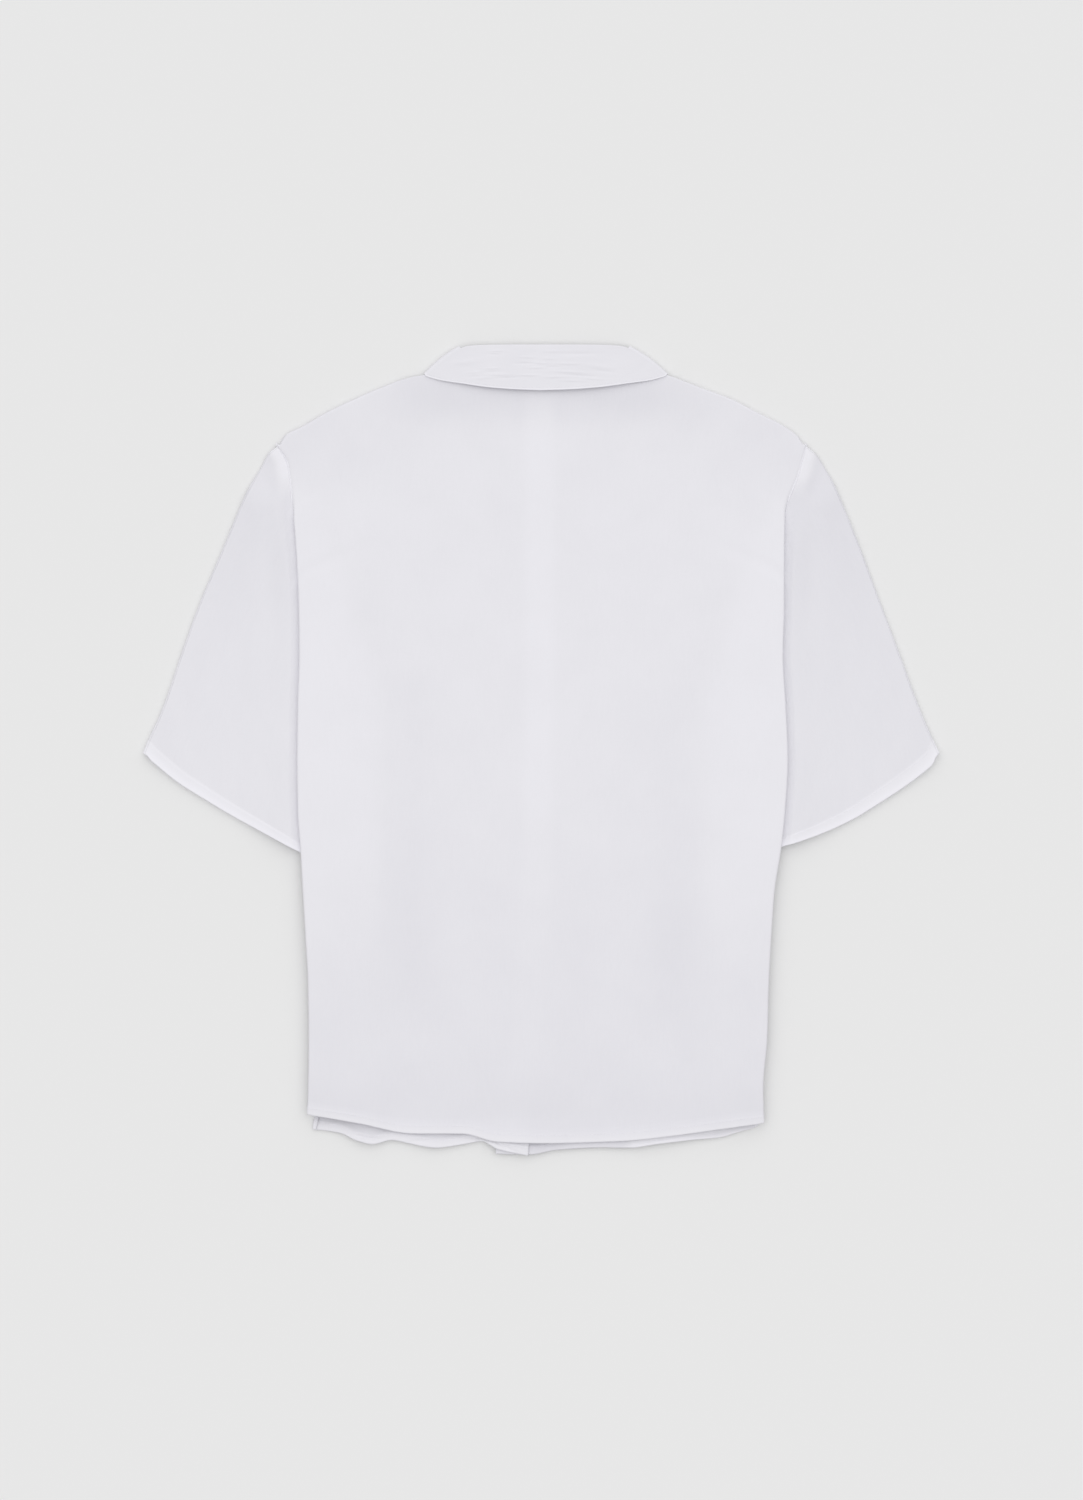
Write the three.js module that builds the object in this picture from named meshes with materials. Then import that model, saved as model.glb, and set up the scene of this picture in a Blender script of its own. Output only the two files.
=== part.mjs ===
// Short-sleeve shirt, laid flat with its back up.
// Millimetres. +Z is up from the surface it lies on, +X to the right as seen from above,
// +Y from the hem to the collar. "left" and "right" are the wearer's, which the back view keeps.

import * as THREE from 'three';

// Cloth and seams
const WALL = 1.0; // one layer of crinkled gauze
const GAP = 0.3; // between pieces at a seam
const HEM_EXTRA = 0.5; // a turned hem is thicker by this
const BODY_HEM = 8; // height of the body's turned hem
const CUFF_HEM = 13; // height of the sleeve's turned hem
const CUFF_EXTRA = 0.3; // and how much thicker it is

// Levels of the undersides of the layers where the sleeve lies in the tuck of the side
const SLEEVE_FRONT_LEVEL = 3.2;
const SLEEVE_PAIR = 1.5; // from the underside of the sleeve's front to that of its back
const TIP_RADIUS_FRONT = 1.6;
const TIP_RADIUS_BACK = 1.5;
const LIP = 0.5; // straight end of a folded edge

// Placket, buttons and collar
const OVERLAP = 30; // width of the closing
const PLACKET_GAP = 0.5; // between the two fronts where they overlap
const PLACKET_RAMP = 15;
const BUTTON_DIAMETER = 11;
const BUTTON_HEIGHT = 2.1;
const BUTTON_COUNT = 6;
const FIRST_BUTTON_Y = 243;
const BUTTON_STEP = 104;
const COLLAR_MIDDLE = 3.5; // level that the flattened collar is folded round
const STAND_RADIUS = 1.3; // from that level to the stand
const FALL_RADIUS = 3.0; // and to the fall
const COLLAR_LIFT = 1.45; // the fronts lie on the collar's front leaves
const LEFT_COLLAR_SCALE = 0.93; // the left half of the collar lies a little narrower

// Side edges of the body as seen from above, from the hem up to the shoulder's end
const SIDES = [
  { y: -345, left: -215.7, right: 204.6 },
  { y: -310, left: -214.4, right: 203.8 },
  { y: -265, left: -213.9, right: 207.4 },
  { y: -215, left: -214.5, right: 208.8 },
  { y: -172, left: -216.8, right: 211.1 },
  { y: -128, left: -219.4, right: 214.3 },
  { y: -92, left: -221.4, right: 220.0 },
  { y: -55, left: -224.0, right: 223.8 },
  { y: -10, left: -224.5, right: 226.4 },
  { y: 40, left: -224.0, right: 224.4 },
  { y: 88, left: -222.6, right: 221.9 },
  { y: 130, left: -223.1, right: 223.0 },
  { y: 175, left: -224.9, right: 223.1 },
  { y: 212, left: -227.7, right: 223.6 },
  { y: 226, left: -228.7, right: 225.6 },
  { y: 249, left: -230.5, right: 234.0 },
  { y: 265, left: -233.2, right: 238.5 },
  { y: 280, left: -243.0, right: 242.6 },
];

// How the side edge is folded. turn: degrees the edge rolls over; arcBack, arcFront: cloth in that
// roll; depth: how far the edge is tucked back in; tip: degrees its end bends to the seam;
// inset: how much further in the front's fold lies; sewn: 1 where back and front are seamed
// together, 0 where the back's end lies on the sleeve, at level rest.
const TUCK = [
  { y: -349, turn: 180, arcBack: 3.8, arcFront: 2.5, depth: 9, tip: 90, inset: 4, sewn: 1, rest: 6.5 },
  { y: -260, turn: 180, arcBack: 4.0, arcFront: 2.5, depth: 16, tip: 90, inset: 3, sewn: 1, rest: 6.5 },
  { y: -118, turn: 180, arcBack: 4.6, arcFront: 2.5, depth: 26, tip: 90, inset: 2, sewn: 1, rest: 6.5 },
  { y: 100, turn: 180, arcBack: 4.6, arcFront: 2.5, depth: 26, tip: 90, inset: 2, sewn: 1, rest: 6.5 },
  { y: 146, turn: 180, arcBack: 4.4, arcFront: 2.5, depth: 21, tip: 90, inset: 2, sewn: 1, rest: 8.0 },
  { y: 168, turn: 180, arcBack: 4.4, arcFront: 2.5, depth: 14, tip: 0, inset: 1.5, sewn: 0, rest: 6.9 },
  { y: 190, turn: 180, arcBack: 4.4, arcFront: 2.5, depth: 2, tip: 0, inset: 1, sewn: 0, rest: 6.5 },
  { y: 208, turn: 120, arcBack: 3.4, arcFront: 1.6, depth: 0, tip: 0, inset: 1, sewn: 0, rest: 6.3 },
  { y: 226, turn: 60, arcBack: 3.2, arcFront: 2.0, depth: 0, tip: 0, inset: 1, sewn: 0, rest: 6.4 },
  { y: 244, turn: 25, arcBack: 3.0, arcFront: 2.0, depth: 0, tip: 0, inset: 1, sewn: 0, rest: 6.0 },
  { y: 262, turn: 8, arcBack: 3.0, arcFront: 2.0, depth: 0, tip: 0, inset: 0.7, sewn: 0, rest: 5.1 },
  { y: 280, turn: 0, arcBack: 3.0, arcFront: 2.0, depth: 0, tip: 0, inset: 0, sewn: 0, rest: 4.9 },
];

// Hem of the back
const BACK_HEM = [
  { x: -216, y: -334.5 },
  { x: -168, y: -342.7 },
  { x: -118, y: -352.4 },
  { x: -73, y: -352.6 },
  { x: -40, y: -359.8 },
  { x: 4, y: -361.2 },
  { x: 71, y: -359.4 },
  { x: 121, y: -354.3 },
  { x: 155, y: -349.6 },
  { x: 205, y: -342.6 },
];

// Hems of the fronts, which show a little below the back's
const LEFT_HEM = [
  { x: -212, y: -348.8 },
  { x: -199, y: -349.8 },
  { x: -184, y: -352.4 },
  { x: -170, y: -358.8 },
  { x: -155, y: -362.2 },
  { x: -138, y: -358.6 },
  { x: -120, y: -362.0 },
  { x: -97, y: -365.6 },
  { x: -72, y: -362.5 },
  { x: -55, y: -359.6 },
  { x: -40, y: -366.7 },
  { x: -12.4, y: -372.7 },
];
const RIGHT_HEM = [
  { x: -44, y: -371.0 },
  { x: -11, y: -371.8 },
  { x: 14, y: -367.6 },
  { x: 57, y: -365.3 },
  { x: 81, y: -365.6 },
  { x: 106, y: -362.1 },
  { x: 138, y: -358.4 },
  { x: 163, y: -356.2 },
  { x: 184, y: -350.4 },
  { x: 204, y: -345.8 },
];

// Shoulder line as seen from above, from the neck to the shoulder's end. arcBack, arcFront: cloth
// that rolls over to the seam at the edge
const SHOULDER = [
  { leftX: 103.5, leftY: 345.4, rightX: 112, rightY: 346.0, arcBack: 1.2, arcFront: 1.2 },
  { leftX: 120, leftY: 342.8, rightX: 123, rightY: 342.2, arcBack: 1.5, arcFront: 1.5 },
  { leftX: 147, leftY: 333.4, rightX: 146, rightY: 333.4, arcBack: 2.6, arcFront: 2.2 },
  { leftX: 173.4, leftY: 321.9, rightX: 173, rightY: 323.5, arcBack: 3.0, arcFront: 2.5 },
  { leftX: 198, leftY: 310.2, rightX: 197.5, rightY: 310.9, arcBack: 3.0, arcFront: 2.5 },
  { leftX: 221.3, leftY: 296.8, rightX: 222.2, rightY: 298.3, arcBack: 3.0, arcFront: 2.5 },
  { leftX: 234, leftY: 290.6, rightX: 233.5, rightY: 290.6, arcBack: 3.0, arcFront: 2.5 },
  { leftX: 243, leftY: 281.4, rightX: 244, rightY: 281.9, arcBack: 3.0, arcFront: 2.5 },
];
const NECK_X = 109; // where neckline and shoulder meet

// Neckline of the back, hidden under the collar, and of the fronts, hidden under the back
const BACK_NECK = [
  { x: 0, y: 337.6 },
  { x: 60, y: 340.2 },
  { x: 95, y: 345.0 },
  { x: 109, y: 346.6 },
];
const FRONT_NECK = [
  { x: -18, y: 262.0 },
  { x: 10, y: 262.4 },
  { x: 35, y: 268.0 },
  { x: 65, y: 281.0 },
  { x: 92, y: 303.0 },
  { x: 104, y: 325.0 },
  { x: 109, y: 346.6 },
];

// Edge of the left front at the closing, from the hem to the neck
const FRONT_EDGE = [
  { y: -373, x: -12.4, lift: 0.4 },
  { y: -345, x: -10.0, lift: 0.9 },
  { y: -298, x: -4.0, lift: 2.6 },
  { y: -250, x: 2.0, lift: 2.6 },
  { y: -120, x: 10.0, lift: 2.6 },
  { y: 120, x: 13.0, lift: 2.6 },
  { y: 263, x: 13.0, lift: 2.6 },
];

// Folded top edge of the sleeve, from inside the shoulder's end down to the cuff
const SLEEVE_FOLD = [
  { y: -4, left: -366.3, right: 366.4 },
  { y: 9, left: -361.4, right: 360.4 },
  { y: 34, left: -350.2, right: 349.8 },
  { y: 85, left: -332.6, right: 331.0 },
  { y: 135, left: -314.8, right: 312.5 },
  { y: 185, left: -293.5, right: 293.9 },
  { y: 235, left: -272.3, right: 273.7 },
  { y: 259, left: -259.4, right: 261.9 },
  { y: 271, left: -253.0, right: 254.0 },
  { y: 281, left: -243.3, right: 244.0 },
  { y: 286, left: -238.8, right: 239.5 },
];

// Cuff edge, by the distance from the middle of the body
const CUFF = [
  { x: 199, left: -106.0, right: -99.0 },
  { x: 221, left: -94.5, right: -89.0 },
  { x: 234.5, left: -87.5, right: -85.0 },
  { x: 260, left: -73.7, right: -75.8 },
  { x: 286, left: -59.5, right: -63.8 },
  { x: 310, left: -45.1, right: -49.2 },
  { x: 334, left: -30.0, right: -33.5 },
  { x: 356, left: -12.1, right: -16.5 },
  { x: 366, left: -3.5, right: -6.5 },
];

// How far the sleeve's head lies inside the body's edge, from the underarm up
const SLEEVE_INSERT = [
  { y: 69, depth: 22 },
  { y: 100, depth: 21 },
  { y: 146, depth: 16 },
  { y: 168, depth: 9 },
  { y: 190, depth: 6.5 },
  { y: 226, depth: 5.5 },
  { y: 265, depth: 5.5 },
  { y: 280, depth: 7 },
];
const UNDERARM_Y = 69;
const SLEEVE_HEAD_Y = 284;
const SLEEVE_HEAD_INSET = 5.5; // the sleeve's fold lies this far inside the shoulder's edge

// Half of the collar, from the middle of the back to the front end. wrap: degrees round the
// folded side of the neck; seam, roll and edge: neck seam, roll line and outer edge
const COLLAR = [
  { wrap: 0, seamX: 0, seamY: 337.9, rollX: 0, rollY: 371.2, edgeX: 0, edgeY: 330.0 },
  { wrap: 0, seamX: 24, seamY: 338.3, rollX: 22, rollY: 371.2, edgeX: 25, edgeY: 330.8 },
  { wrap: 0, seamX: 50, seamY: 339.9, rollX: 42, rollY: 371.1, edgeX: 51, edgeY: 332.6 },
  { wrap: 0, seamX: 76, seamY: 342.7, rollX: 60, rollY: 370.9, edgeX: 78, edgeY: 336.2 },
  { wrap: 0, seamX: 98, seamY: 346.0, rollX: 74, rollY: 370.0, edgeX: 101, edgeY: 339.6 },
  { wrap: 0, seamX: 108.2, seamY: 347.5, rollX: 80.4, rollY: 368.1, edgeX: 114, edgeY: 343.2 },
  { wrap: 45, seamX: 108.2, seamY: 347.5, rollX: 80.4, rollY: 368.1, edgeX: 114, edgeY: 343.2 },
  { wrap: 90, seamX: 108.2, seamY: 347.5, rollX: 80.4, rollY: 368.1, edgeX: 114, edgeY: 343.2 },
  { wrap: 135, seamX: 108.2, seamY: 347.5, rollX: 80.4, rollY: 368.1, edgeX: 114, edgeY: 343.2 },
  { wrap: 180, seamX: 108.2, seamY: 347.5, rollX: 80.4, rollY: 368.1, edgeX: 114, edgeY: 343.2 },
  { wrap: 180, seamX: 103.3, seamY: 325.6, rollX: 80.0, rollY: 333.0, edgeX: 119, edgeY: 318.0 },
  { wrap: 180, seamX: 91.2, seamY: 303.8, rollX: 77.0, rollY: 309.5, edgeX: 116, edgeY: 288.0 },
  { wrap: 180, seamX: 64.4, seamY: 281.9, rollX: 59.0, rollY: 290.5, edgeX: 104, edgeY: 262.0 },
  { wrap: 180, seamX: 34.6, seamY: 268.8, rollX: 32.5, rollY: 275.5, edgeX: 86, edgeY: 240.0 },
  { wrap: 180, seamX: 1.0, seamY: 263.2, rollX: 1.0, rollY: 268.0, edgeX: 62, edgeY: 222.0 },
];
const SEAM_SLACK = 0.1; // the neck seam curves between its stations
const FALL_LOFT = 0.9; // the back of the fall stands off the cloth at its edge

// Relief of the back: ridge over the closing, rolls along the sides and broad shallow troughs.
// x, y: middle; long, wide: half lengths; tilt: degrees from the Y axis; height: above or below
const BACK_BASE = 2.6; // underside of the back away from folds
const CLOSING_ROOM = 0.6; // between the closing and the back over it
const RIDGE_SIDES = { top: 4, foot: 48 }; // how far beside the closing that ridge falls
const SIDE_ROLL = { shelf: 28, shelfDrop: 0.2, start: 30, end: 95 }; // the back beside a tucked side
const PLAIN_SIDE = { end: 55, from: 120, to: 262 }; // and up at the shoulder, with where that begins
const SHOULDER_FADE = 70; // how far below the shoulder the back comes down to its relief
const OVER_LEAVES = 0.4; // share of the fronts' lift over the collar's leaves that the back takes up
const BACK_RELIEF = [
  { x: -128, y: 20, long: 150, wide: 26, tilt: 20, height: -0.9 },
  { x: 128, y: 20, long: 150, wide: 26, tilt: -14, height: -0.9 },
  { x: -175, y: 60, long: 170, wide: 26, tilt: 2, height: 1.6 },
  { x: 178, y: 60, long: 170, wide: 26, tilt: -2, height: 1.6 },
  { x: -70, y: 120, long: 160, wide: 40, tilt: 8, height: 1.1 },
  { x: 74, y: 110, long: 160, wide: 40, tilt: -8, height: 1.1 },
  { x: -61, y: -340, long: 46, wide: 9, tilt: 4, height: -0.7 },
  { x: -100, y: -220, long: 120, wide: 24, tilt: 6, height: 0.9 },
  { x: 96, y: -230, long: 120, wide: 26, tilt: -5, height: 1.0 },
];

// Ripples of the front hems, which run up from the hem and fade. wide: half width; long: how far up
const LEFT_RIPPLES = [
  { x: -164, wide: 26, height: 2.2, long: 95 },
  { x: -104, wide: 20, height: 1.0, long: 70 },
];
const RIGHT_RIPPLES = [
  { x: 112, wide: 34, height: 2.4, long: 100 },
  { x: 182, wide: 14, height: 1.0, long: 50 },
];

const MATERIAL_CLOTH = { color: 0xe9e7ee, roughness: 0.92, metalness: 0 };
const MATERIAL_BUTTON = { color: 0xe4e1e6, roughness: 0.35, metalness: 0 };

const { lerp, clamp, smoothstep, degToRad } = THREE.MathUtils;

// Reads one column of a table at a value of its key column, smoothly and with no overshoot
function read(rows, key, at, column) {
  const last = rows.length - 1;
  if (at <= rows[0][key]) return rows[0][column];
  if (at >= rows[last][key]) return rows[last][column];
  let i = 0;
  while (rows[i + 1][key] < at) i += 1;
  const secant = (k) => (rows[k + 1][column] - rows[k][column]) / (rows[k + 1][key] - rows[k][key]);
  const slope = (k) => {
    if (k === 0) return secant(0);
    if (k === last) return secant(last - 1);
    const before = secant(k - 1);
    const after = secant(k);
    return before * after <= 0 ? 0 : (2 * before * after) / (before + after);
  };
  const step = rows[i + 1][key] - rows[i][key];
  const t = (at - rows[i][key]) / step;
  const t2 = t * t;
  const t3 = t2 * t;
  return (2 * t3 - 3 * t2 + 1) * rows[i][column] + (t3 - 2 * t2 + t) * step * slope(i)
    + (3 * t2 - 2 * t3) * rows[i + 1][column] + (t3 - t2) * step * slope(i + 1);
}

// A long soft hump or trough, seen from above
function swell(x, y, { x: cx, y: cy, long, wide, tilt, height }) {
  const angle = degToRad(tilt);
  const along = ((y - cy) * Math.cos(angle) - (x - cx) * Math.sin(angle)) / long;
  const across = ((x - cx) * Math.cos(angle) + (y - cy) * Math.sin(angle)) / wide;
  return height * Math.exp(-along * along - across * across);
}

// Distance from a point to an outline, negative inside it
function distanceTo(outline, x, y) {
  let nearest = Infinity;
  let inside = false;
  for (let i = 0, k = outline.length - 1; i < outline.length; k = i, i += 1) {
    const a = outline[k];
    const b = outline[i];
    const ex = b.x - a.x;
    const ey = b.y - a.y;
    const t = clamp(((x - a.x) * ex + (y - a.y) * ey) / (ex * ex + ey * ey), 0, 1);
    nearest = Math.min(nearest, Math.hypot(x - a.x - t * ex, y - a.y - t * ey));
    if ((a.y > y) !== (b.y > y) && x < a.x + ((y - a.y) / ey) * ex) inside = !inside;
  }
  return inside ? -nearest : nearest;
}

// Outline of the collar's front leaf that the front lies on
function leafOutline(side) {
  const scale = collarScale(side);
  const front = COLLAR.filter((row) => row.wrap === 180);
  const outer = front.map((row) => new THREE.Vector2(side * scale * row.edgeX, row.edgeY));
  const inner = front.map((row) => new THREE.Vector2(side * scale * row.seamX, row.seamY));
  return [...outer, ...inner.reverse()];
}
const LEAVES = { '-1': leafOutline(-1), 1: leafOutline(1) };

// The front comes down from the leaf's edge between these two distances
const LEAF_LIFT_ENDS = { near: 14, far: 34 };
function collarLift(side, x, y) {
  const away = distanceTo(LEAVES[side], x, y);
  return COLLAR_LIFT * (1 - smoothstep(away, LEAF_LIFT_ENDS.near, LEAF_LIFT_ENDS.far));
}

// Undersides of the two fronts
function closingEdge(y) {
  return read(FRONT_EDGE, 'y', y, 'x');
}

function closingLift(y) {
  return read(FRONT_EDGE, 'y', y, 'lift');
}

const LOWEST_HEM = -372;
function ripple(rows, x, y) {
  return rows.reduce((sum, row) => {
    const across = (x - row.x) / row.wide;
    const up = clamp((y - LOWEST_HEM) / row.long, 0, 1);
    return sum + row.height * Math.exp(-across * across) * (1 - smoothstep(up, 0, 1));
  }, 0);
}

function rightFrontLevel(x, y) {
  const ramp = 1 - smoothstep(x, closingEdge(y) + 1, closingEdge(y) + 1 + PLACKET_RAMP);
  return Math.max(closingLift(y) * ramp, collarLift(1, x, y), ripple(RIGHT_RIPPLES, x, y));
}

// The left front and the back rise over the turned hems below them, which end above these levels
const CLOSING_HEM = { full: -362, none: -345 };
const BACK_ON_HEM = { full: -362, none: -335 };
const STEP_BESIDE_CLOSING = 3;
function leftFrontLevel(x, y) {
  const start = closingEdge(y) - OVERLAP - STEP_BESIDE_CLOSING;
  const ramp = smoothstep(x, start - PLACKET_RAMP, start);
  const onHem = HEM_EXTRA * (1 - smoothstep(y, CLOSING_HEM.full, CLOSING_HEM.none));
  const onRight = closingLift(y) + WALL + PLACKET_GAP + onHem;
  return Math.max(onRight * ramp, collarLift(-1, x, y), ripple(LEFT_RIPPLES, x, y));
}

function frontLevel(side, x, y) {
  return side < 0 ? leftFrontLevel(x, y) : rightFrontLevel(x, y);
}

// Section across a folded edge, as steps outward and down from the flat cloth. A short one only
// rolls over
const ARC_STEPS = 4;
const TIP_STEPS = 2;
function foldedEdge({ turn, arc, depth, tip, tipRadius, short }) {
  const points = [];
  let out = 0;
  let drop = 0;
  let reach = 0;
  const run = (length, from, to, steps) => {
    for (let i = 0; i < steps; i += 1) {
      const angle = degToRad(lerp(from, to, (i + 0.5) / steps));
      out += (length / steps) * Math.cos(angle);
      drop += (length / steps) * Math.sin(angle);
      reach = Math.max(reach, out);
      points.push({ out, drop });
    }
  };
  run(arc, 0, turn, ARC_STEPS);
  if (!short) {
    run(Math.max(GAP, depth - (reach - out)), turn, turn, 1);
    run(Math.max(GAP, tipRadius * degToRad(tip)), turn, turn - tip, TIP_STEPS);
  }
  run(LIP, turn - tip, turn - tip, 1);
  return { points, reach: reach + (WALL / 2) * Math.sin(degToRad(Math.min(turn, 90))), drop };
}

function tuckAt(y) {
  const row = {};
  for (const column of ['turn', 'arcBack', 'arcFront', 'depth', 'tip', 'inset', 'sewn', 'rest']) {
    row[column] = read(TUCK, 'y', y, column);
  }
  return row;
}

function frontSideFold(y) {
  const { turn, arcFront, depth, tip, inset } = tuckAt(y);
  return foldedEdge({
    turn,
    arc: arcFront,
    depth: Math.max(0, depth - inset),
    tip,
    tipRadius: TIP_RADIUS_FRONT,
  });
}

function backSideFold(y) {
  const { turn, arcBack, depth, tip } = tuckAt(y);
  return foldedEdge({ turn, arc: arcBack, depth, tip, tipRadius: TIP_RADIUS_BACK });
}

// Level of the middle of the back's wall at its side edge
function backSideLevel(y) {
  const { sewn, rest } = tuckAt(y);
  const frontEnd = WALL / 2 + frontSideFold(y).drop;
  return lerp(rest, frontEnd + GAP, sewn) + backSideFold(y).drop;
}

function sideOutline(side, y) {
  return read(SIDES, 'y', y, side < 0 ? 'left' : 'right');
}

function sideEdge(side, y, fold, inset) {
  return new THREE.Vector2(sideOutline(side, y) - side * (fold.reach + inset), y);
}

// Shoulder seam: the front rolls up and the back rolls down to it
function shoulderAt(side, x, column) {
  const name = side < 0 ? 'left' : 'right';
  return read(SHOULDER, `${name}X`, x, column === 'y' ? `${name}Y` : column);
}

function shoulderFold(side, x, column) {
  return foldedEdge({ turn: 90, arc: shoulderAt(side, x, column), tip: 0, short: true });
}

const FLAT_TOP = foldedEdge({ turn: 0, arc: 1, tip: 0, short: true });

function collarScale(side) {
  return side < 0 ? LEFT_COLLAR_SCALE : 1;
}

// Point on a neckline moved off it by away, towards the neck's opening
function neckPoint(side, neckline, at, away) {
  const x = Math.min(at, NECK_X);
  const [before, after] = [x - 0.5, Math.min(x + 0.5, NECK_X)];
  const slope = (read(neckline, 'x', after, 'y') - read(neckline, 'x', before, 'y')) / (after - before);
  const normal = new THREE.Vector2(-slope, 1).normalize();
  const y = read(neckline, 'x', x, 'y');
  return new THREE.Vector2(side * collarScale(side) * (x + normal.x * away), y + normal.y * away);
}

function shoulderPoint(side, x, column) {
  const fold = shoulderFold(side, x, column);
  const ahead = shoulderAt(side, x + 1, 'y') - shoulderAt(side, x - 1, 'y');
  const normal = new THREE.Vector2(-ahead, 2).normalize();
  const y = shoulderAt(side, x, 'y');
  return new THREE.Vector2(side * (x - normal.x * fold.reach), y - normal.y * fold.reach);
}

function shoulderSeamLevel(side, x) {
  const point = shoulderPoint(side, x, 'arcFront');
  return frontLevel(side, point.x, point.y) + WALL / 2 + shoulderFold(side, x, 'arcFront').drop + GAP / 2;
}

function shoulderStations(side) {
  return SHOULDER.slice(0, -1).map((row) => side * (side < 0 ? row.leftX : row.rightX));
}

// Four-sided patch between its edges
function patch(bottom, top, left, right, u, v) {
  const point = new THREE.Vector2();
  point.addScaledVector(bottom(u), 1 - v).addScaledVector(top(u), v);
  point.addScaledVector(left(v), 1 - u).addScaledVector(right(v), u);
  point.addScaledVector(bottom(0), -(1 - u) * (1 - v)).addScaledVector(bottom(1), -u * (1 - v));
  point.addScaledVector(top(0), -(1 - u) * v).addScaledVector(top(1), -u * v);
  return point;
}

// Closed wall of cloth round a grid of points in its middle. Round pieces join their last column
// to their first
function clothWall(grid, thickness, round = false) {
  const rows = grid.length;
  const columns = grid[0].length;
  const positions = [];
  const across = new THREE.Vector3();
  const along = new THREE.Vector3();
  const neighbour = (i, j) => {
    const row = clamp(i, 0, rows - 1);
    return round ? grid[row][(j + columns) % columns] : grid[row][clamp(j, 0, columns - 1)];
  };
  for (let i = 0; i < rows; i += 1) {
    for (let j = 0; j < columns; j += 1) {
      across.subVectors(neighbour(i, j + 1), neighbour(i, j - 1));
      along.subVectors(neighbour(i + 1, j), neighbour(i - 1, j));
      const normal = across.clone().cross(along).normalize().multiplyScalar(thickness(i, j) / 2);
      positions.push(grid[i][j].clone().add(normal), grid[i][j].clone().sub(normal));
    }
  }
  const outer = (i, j) => 2 * (i * columns + (j % columns));
  const inner = (i, j) => outer(i, j) + 1;
  const faces = [];
  const quad = (a, b, c, d) => faces.push(a, b, c, a, c, d);
  const spans = round ? columns : columns - 1;
  for (let i = 0; i < rows - 1; i += 1) {
    for (let j = 0; j < spans; j += 1) {
      quad(outer(i, j), outer(i, j + 1), outer(i + 1, j + 1), outer(i + 1, j));
      quad(inner(i, j), inner(i + 1, j), inner(i + 1, j + 1), inner(i, j + 1));
    }
    if (!round) {
      quad(outer(i, 0), outer(i + 1, 0), inner(i + 1, 0), inner(i, 0));
      quad(outer(i, spans), inner(i, spans), inner(i + 1, spans), outer(i + 1, spans));
    }
  }
  for (let j = 0; j < spans; j += 1) {
    quad(outer(0, j), inner(0, j), inner(0, j + 1), outer(0, j + 1));
    quad(outer(rows - 1, j), outer(rows - 1, j + 1), inner(rows - 1, j + 1), inner(rows - 1, j));
  }
  let volume = 0;
  for (let k = 0; k < faces.length; k += 3) {
    const [a, b, c] = [positions[faces[k]], positions[faces[k + 1]], positions[faces[k + 2]]];
    volume += a.dot(b.clone().cross(c));
  }
  if (volume < 0) faces.reverse();
  const geometry = new THREE.BufferGeometry();
  const numbers = positions.flatMap((point) => point.toArray());
  geometry.setAttribute('position', new THREE.Float32BufferAttribute(numbers, 3));
  geometry.setIndex(faces);
  geometry.computeVertexNormals();
  return geometry;
}

// Rows of a body panel: hem, top of the hem's turning, then even steps with closer ones in the
// tuck's ends and under the shoulder
const BODY_BOTTOM = -345;
const BODY_TOP = 279.5;
const HEM_START = BODY_BOTTOM + BODY_HEM;
const BODY_ROW_LEVELS = [
  BODY_BOTTOM, HEM_START - 0.3, HEM_START + 0.3, -305, -265, -220, -170, -118, -60,
  0, 60, 105, 135, 152, 168, 190, 200, 210, 220, 232, 246, 262, BODY_TOP,
];
const BODY_ROWS = BODY_ROW_LEVELS.map((y) => (y - BODY_BOTTOM) / (BODY_TOP - BODY_BOTTOM));
const BODY_HEM_ROWS = 2;

// One panel of the body. level gives the height of the middle of the wall; the folds at its sides
// and top are added outside the flat patch. lift is 1 where folds go down and -1 where they go up
function bodyPanel({ columns, bottom, top, left, right, level, leftFold, rightFold, topFold, lift }) {
  const plan = (u, v) => patch(bottom, top, left, right, u, v);
  const grid = BODY_ROWS.map((v, i) => {
    const raised = i < BODY_HEM_ROWS ? HEM_EXTRA / 2 : 0;
    const flat = columns.map((u) => {
      const point = plan(u, v);
      return new THREE.Vector3(point.x, point.y, level(point.x, point.y, u, v) + raised);
    });
    const side = (u, fold) => {
      const edge = plan(u, v);
      const z = level(edge.x, edge.y, u, v) + raised;
      return fold.points.map(({ out, drop }) => new THREE.Vector3(
        edge.x + (u === 0 ? -out : out),
        edge.y,
        z - lift * drop,
      ));
    };
    const before = leftFold ? side(0, leftFold(v)).reverse() : [];
    const after = rightFold ? side(1, rightFold(v)) : [];
    return [...before, ...flat, ...after];
  });
  const leftCount = leftFold ? leftFold(1).points.length : 0;
  const last = grid[grid.length - 1];
  const uOf = (j) => clamp(j - leftCount, 0, columns.length - 1);
  const folds = last.map((point, j) => topFold(columns[uOf(j)]));
  const steps = folds[0].points.length;
  for (let k = 0; k < steps; k += 1) {
    grid.push(last.map((point, j) => {
      const u = columns[uOf(j)];
      const ahead = top(Math.min(1, u + 0.004)).sub(top(Math.max(0, u - 0.004)));
      const outward = new THREE.Vector2(-ahead.y, ahead.x).normalize();
      const { out, drop } = folds[j].points[k];
      return new THREE.Vector3(point.x + outward.x * out, point.y + outward.y * out, point.z - lift * drop);
    }));
  }
  return clothWall(grid, (i) => (i < BODY_HEM_ROWS ? WALL + HEM_EXTRA : WALL));
}

// y of a side edge that starts at the corner of its panel's hem
function sideY(v, corner) {
  return lerp(corner, BODY_TOP, v);
}

function spread(count) {
  return Array.from({ length: count + 1 }, (_, k) => k / count);
}

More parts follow.
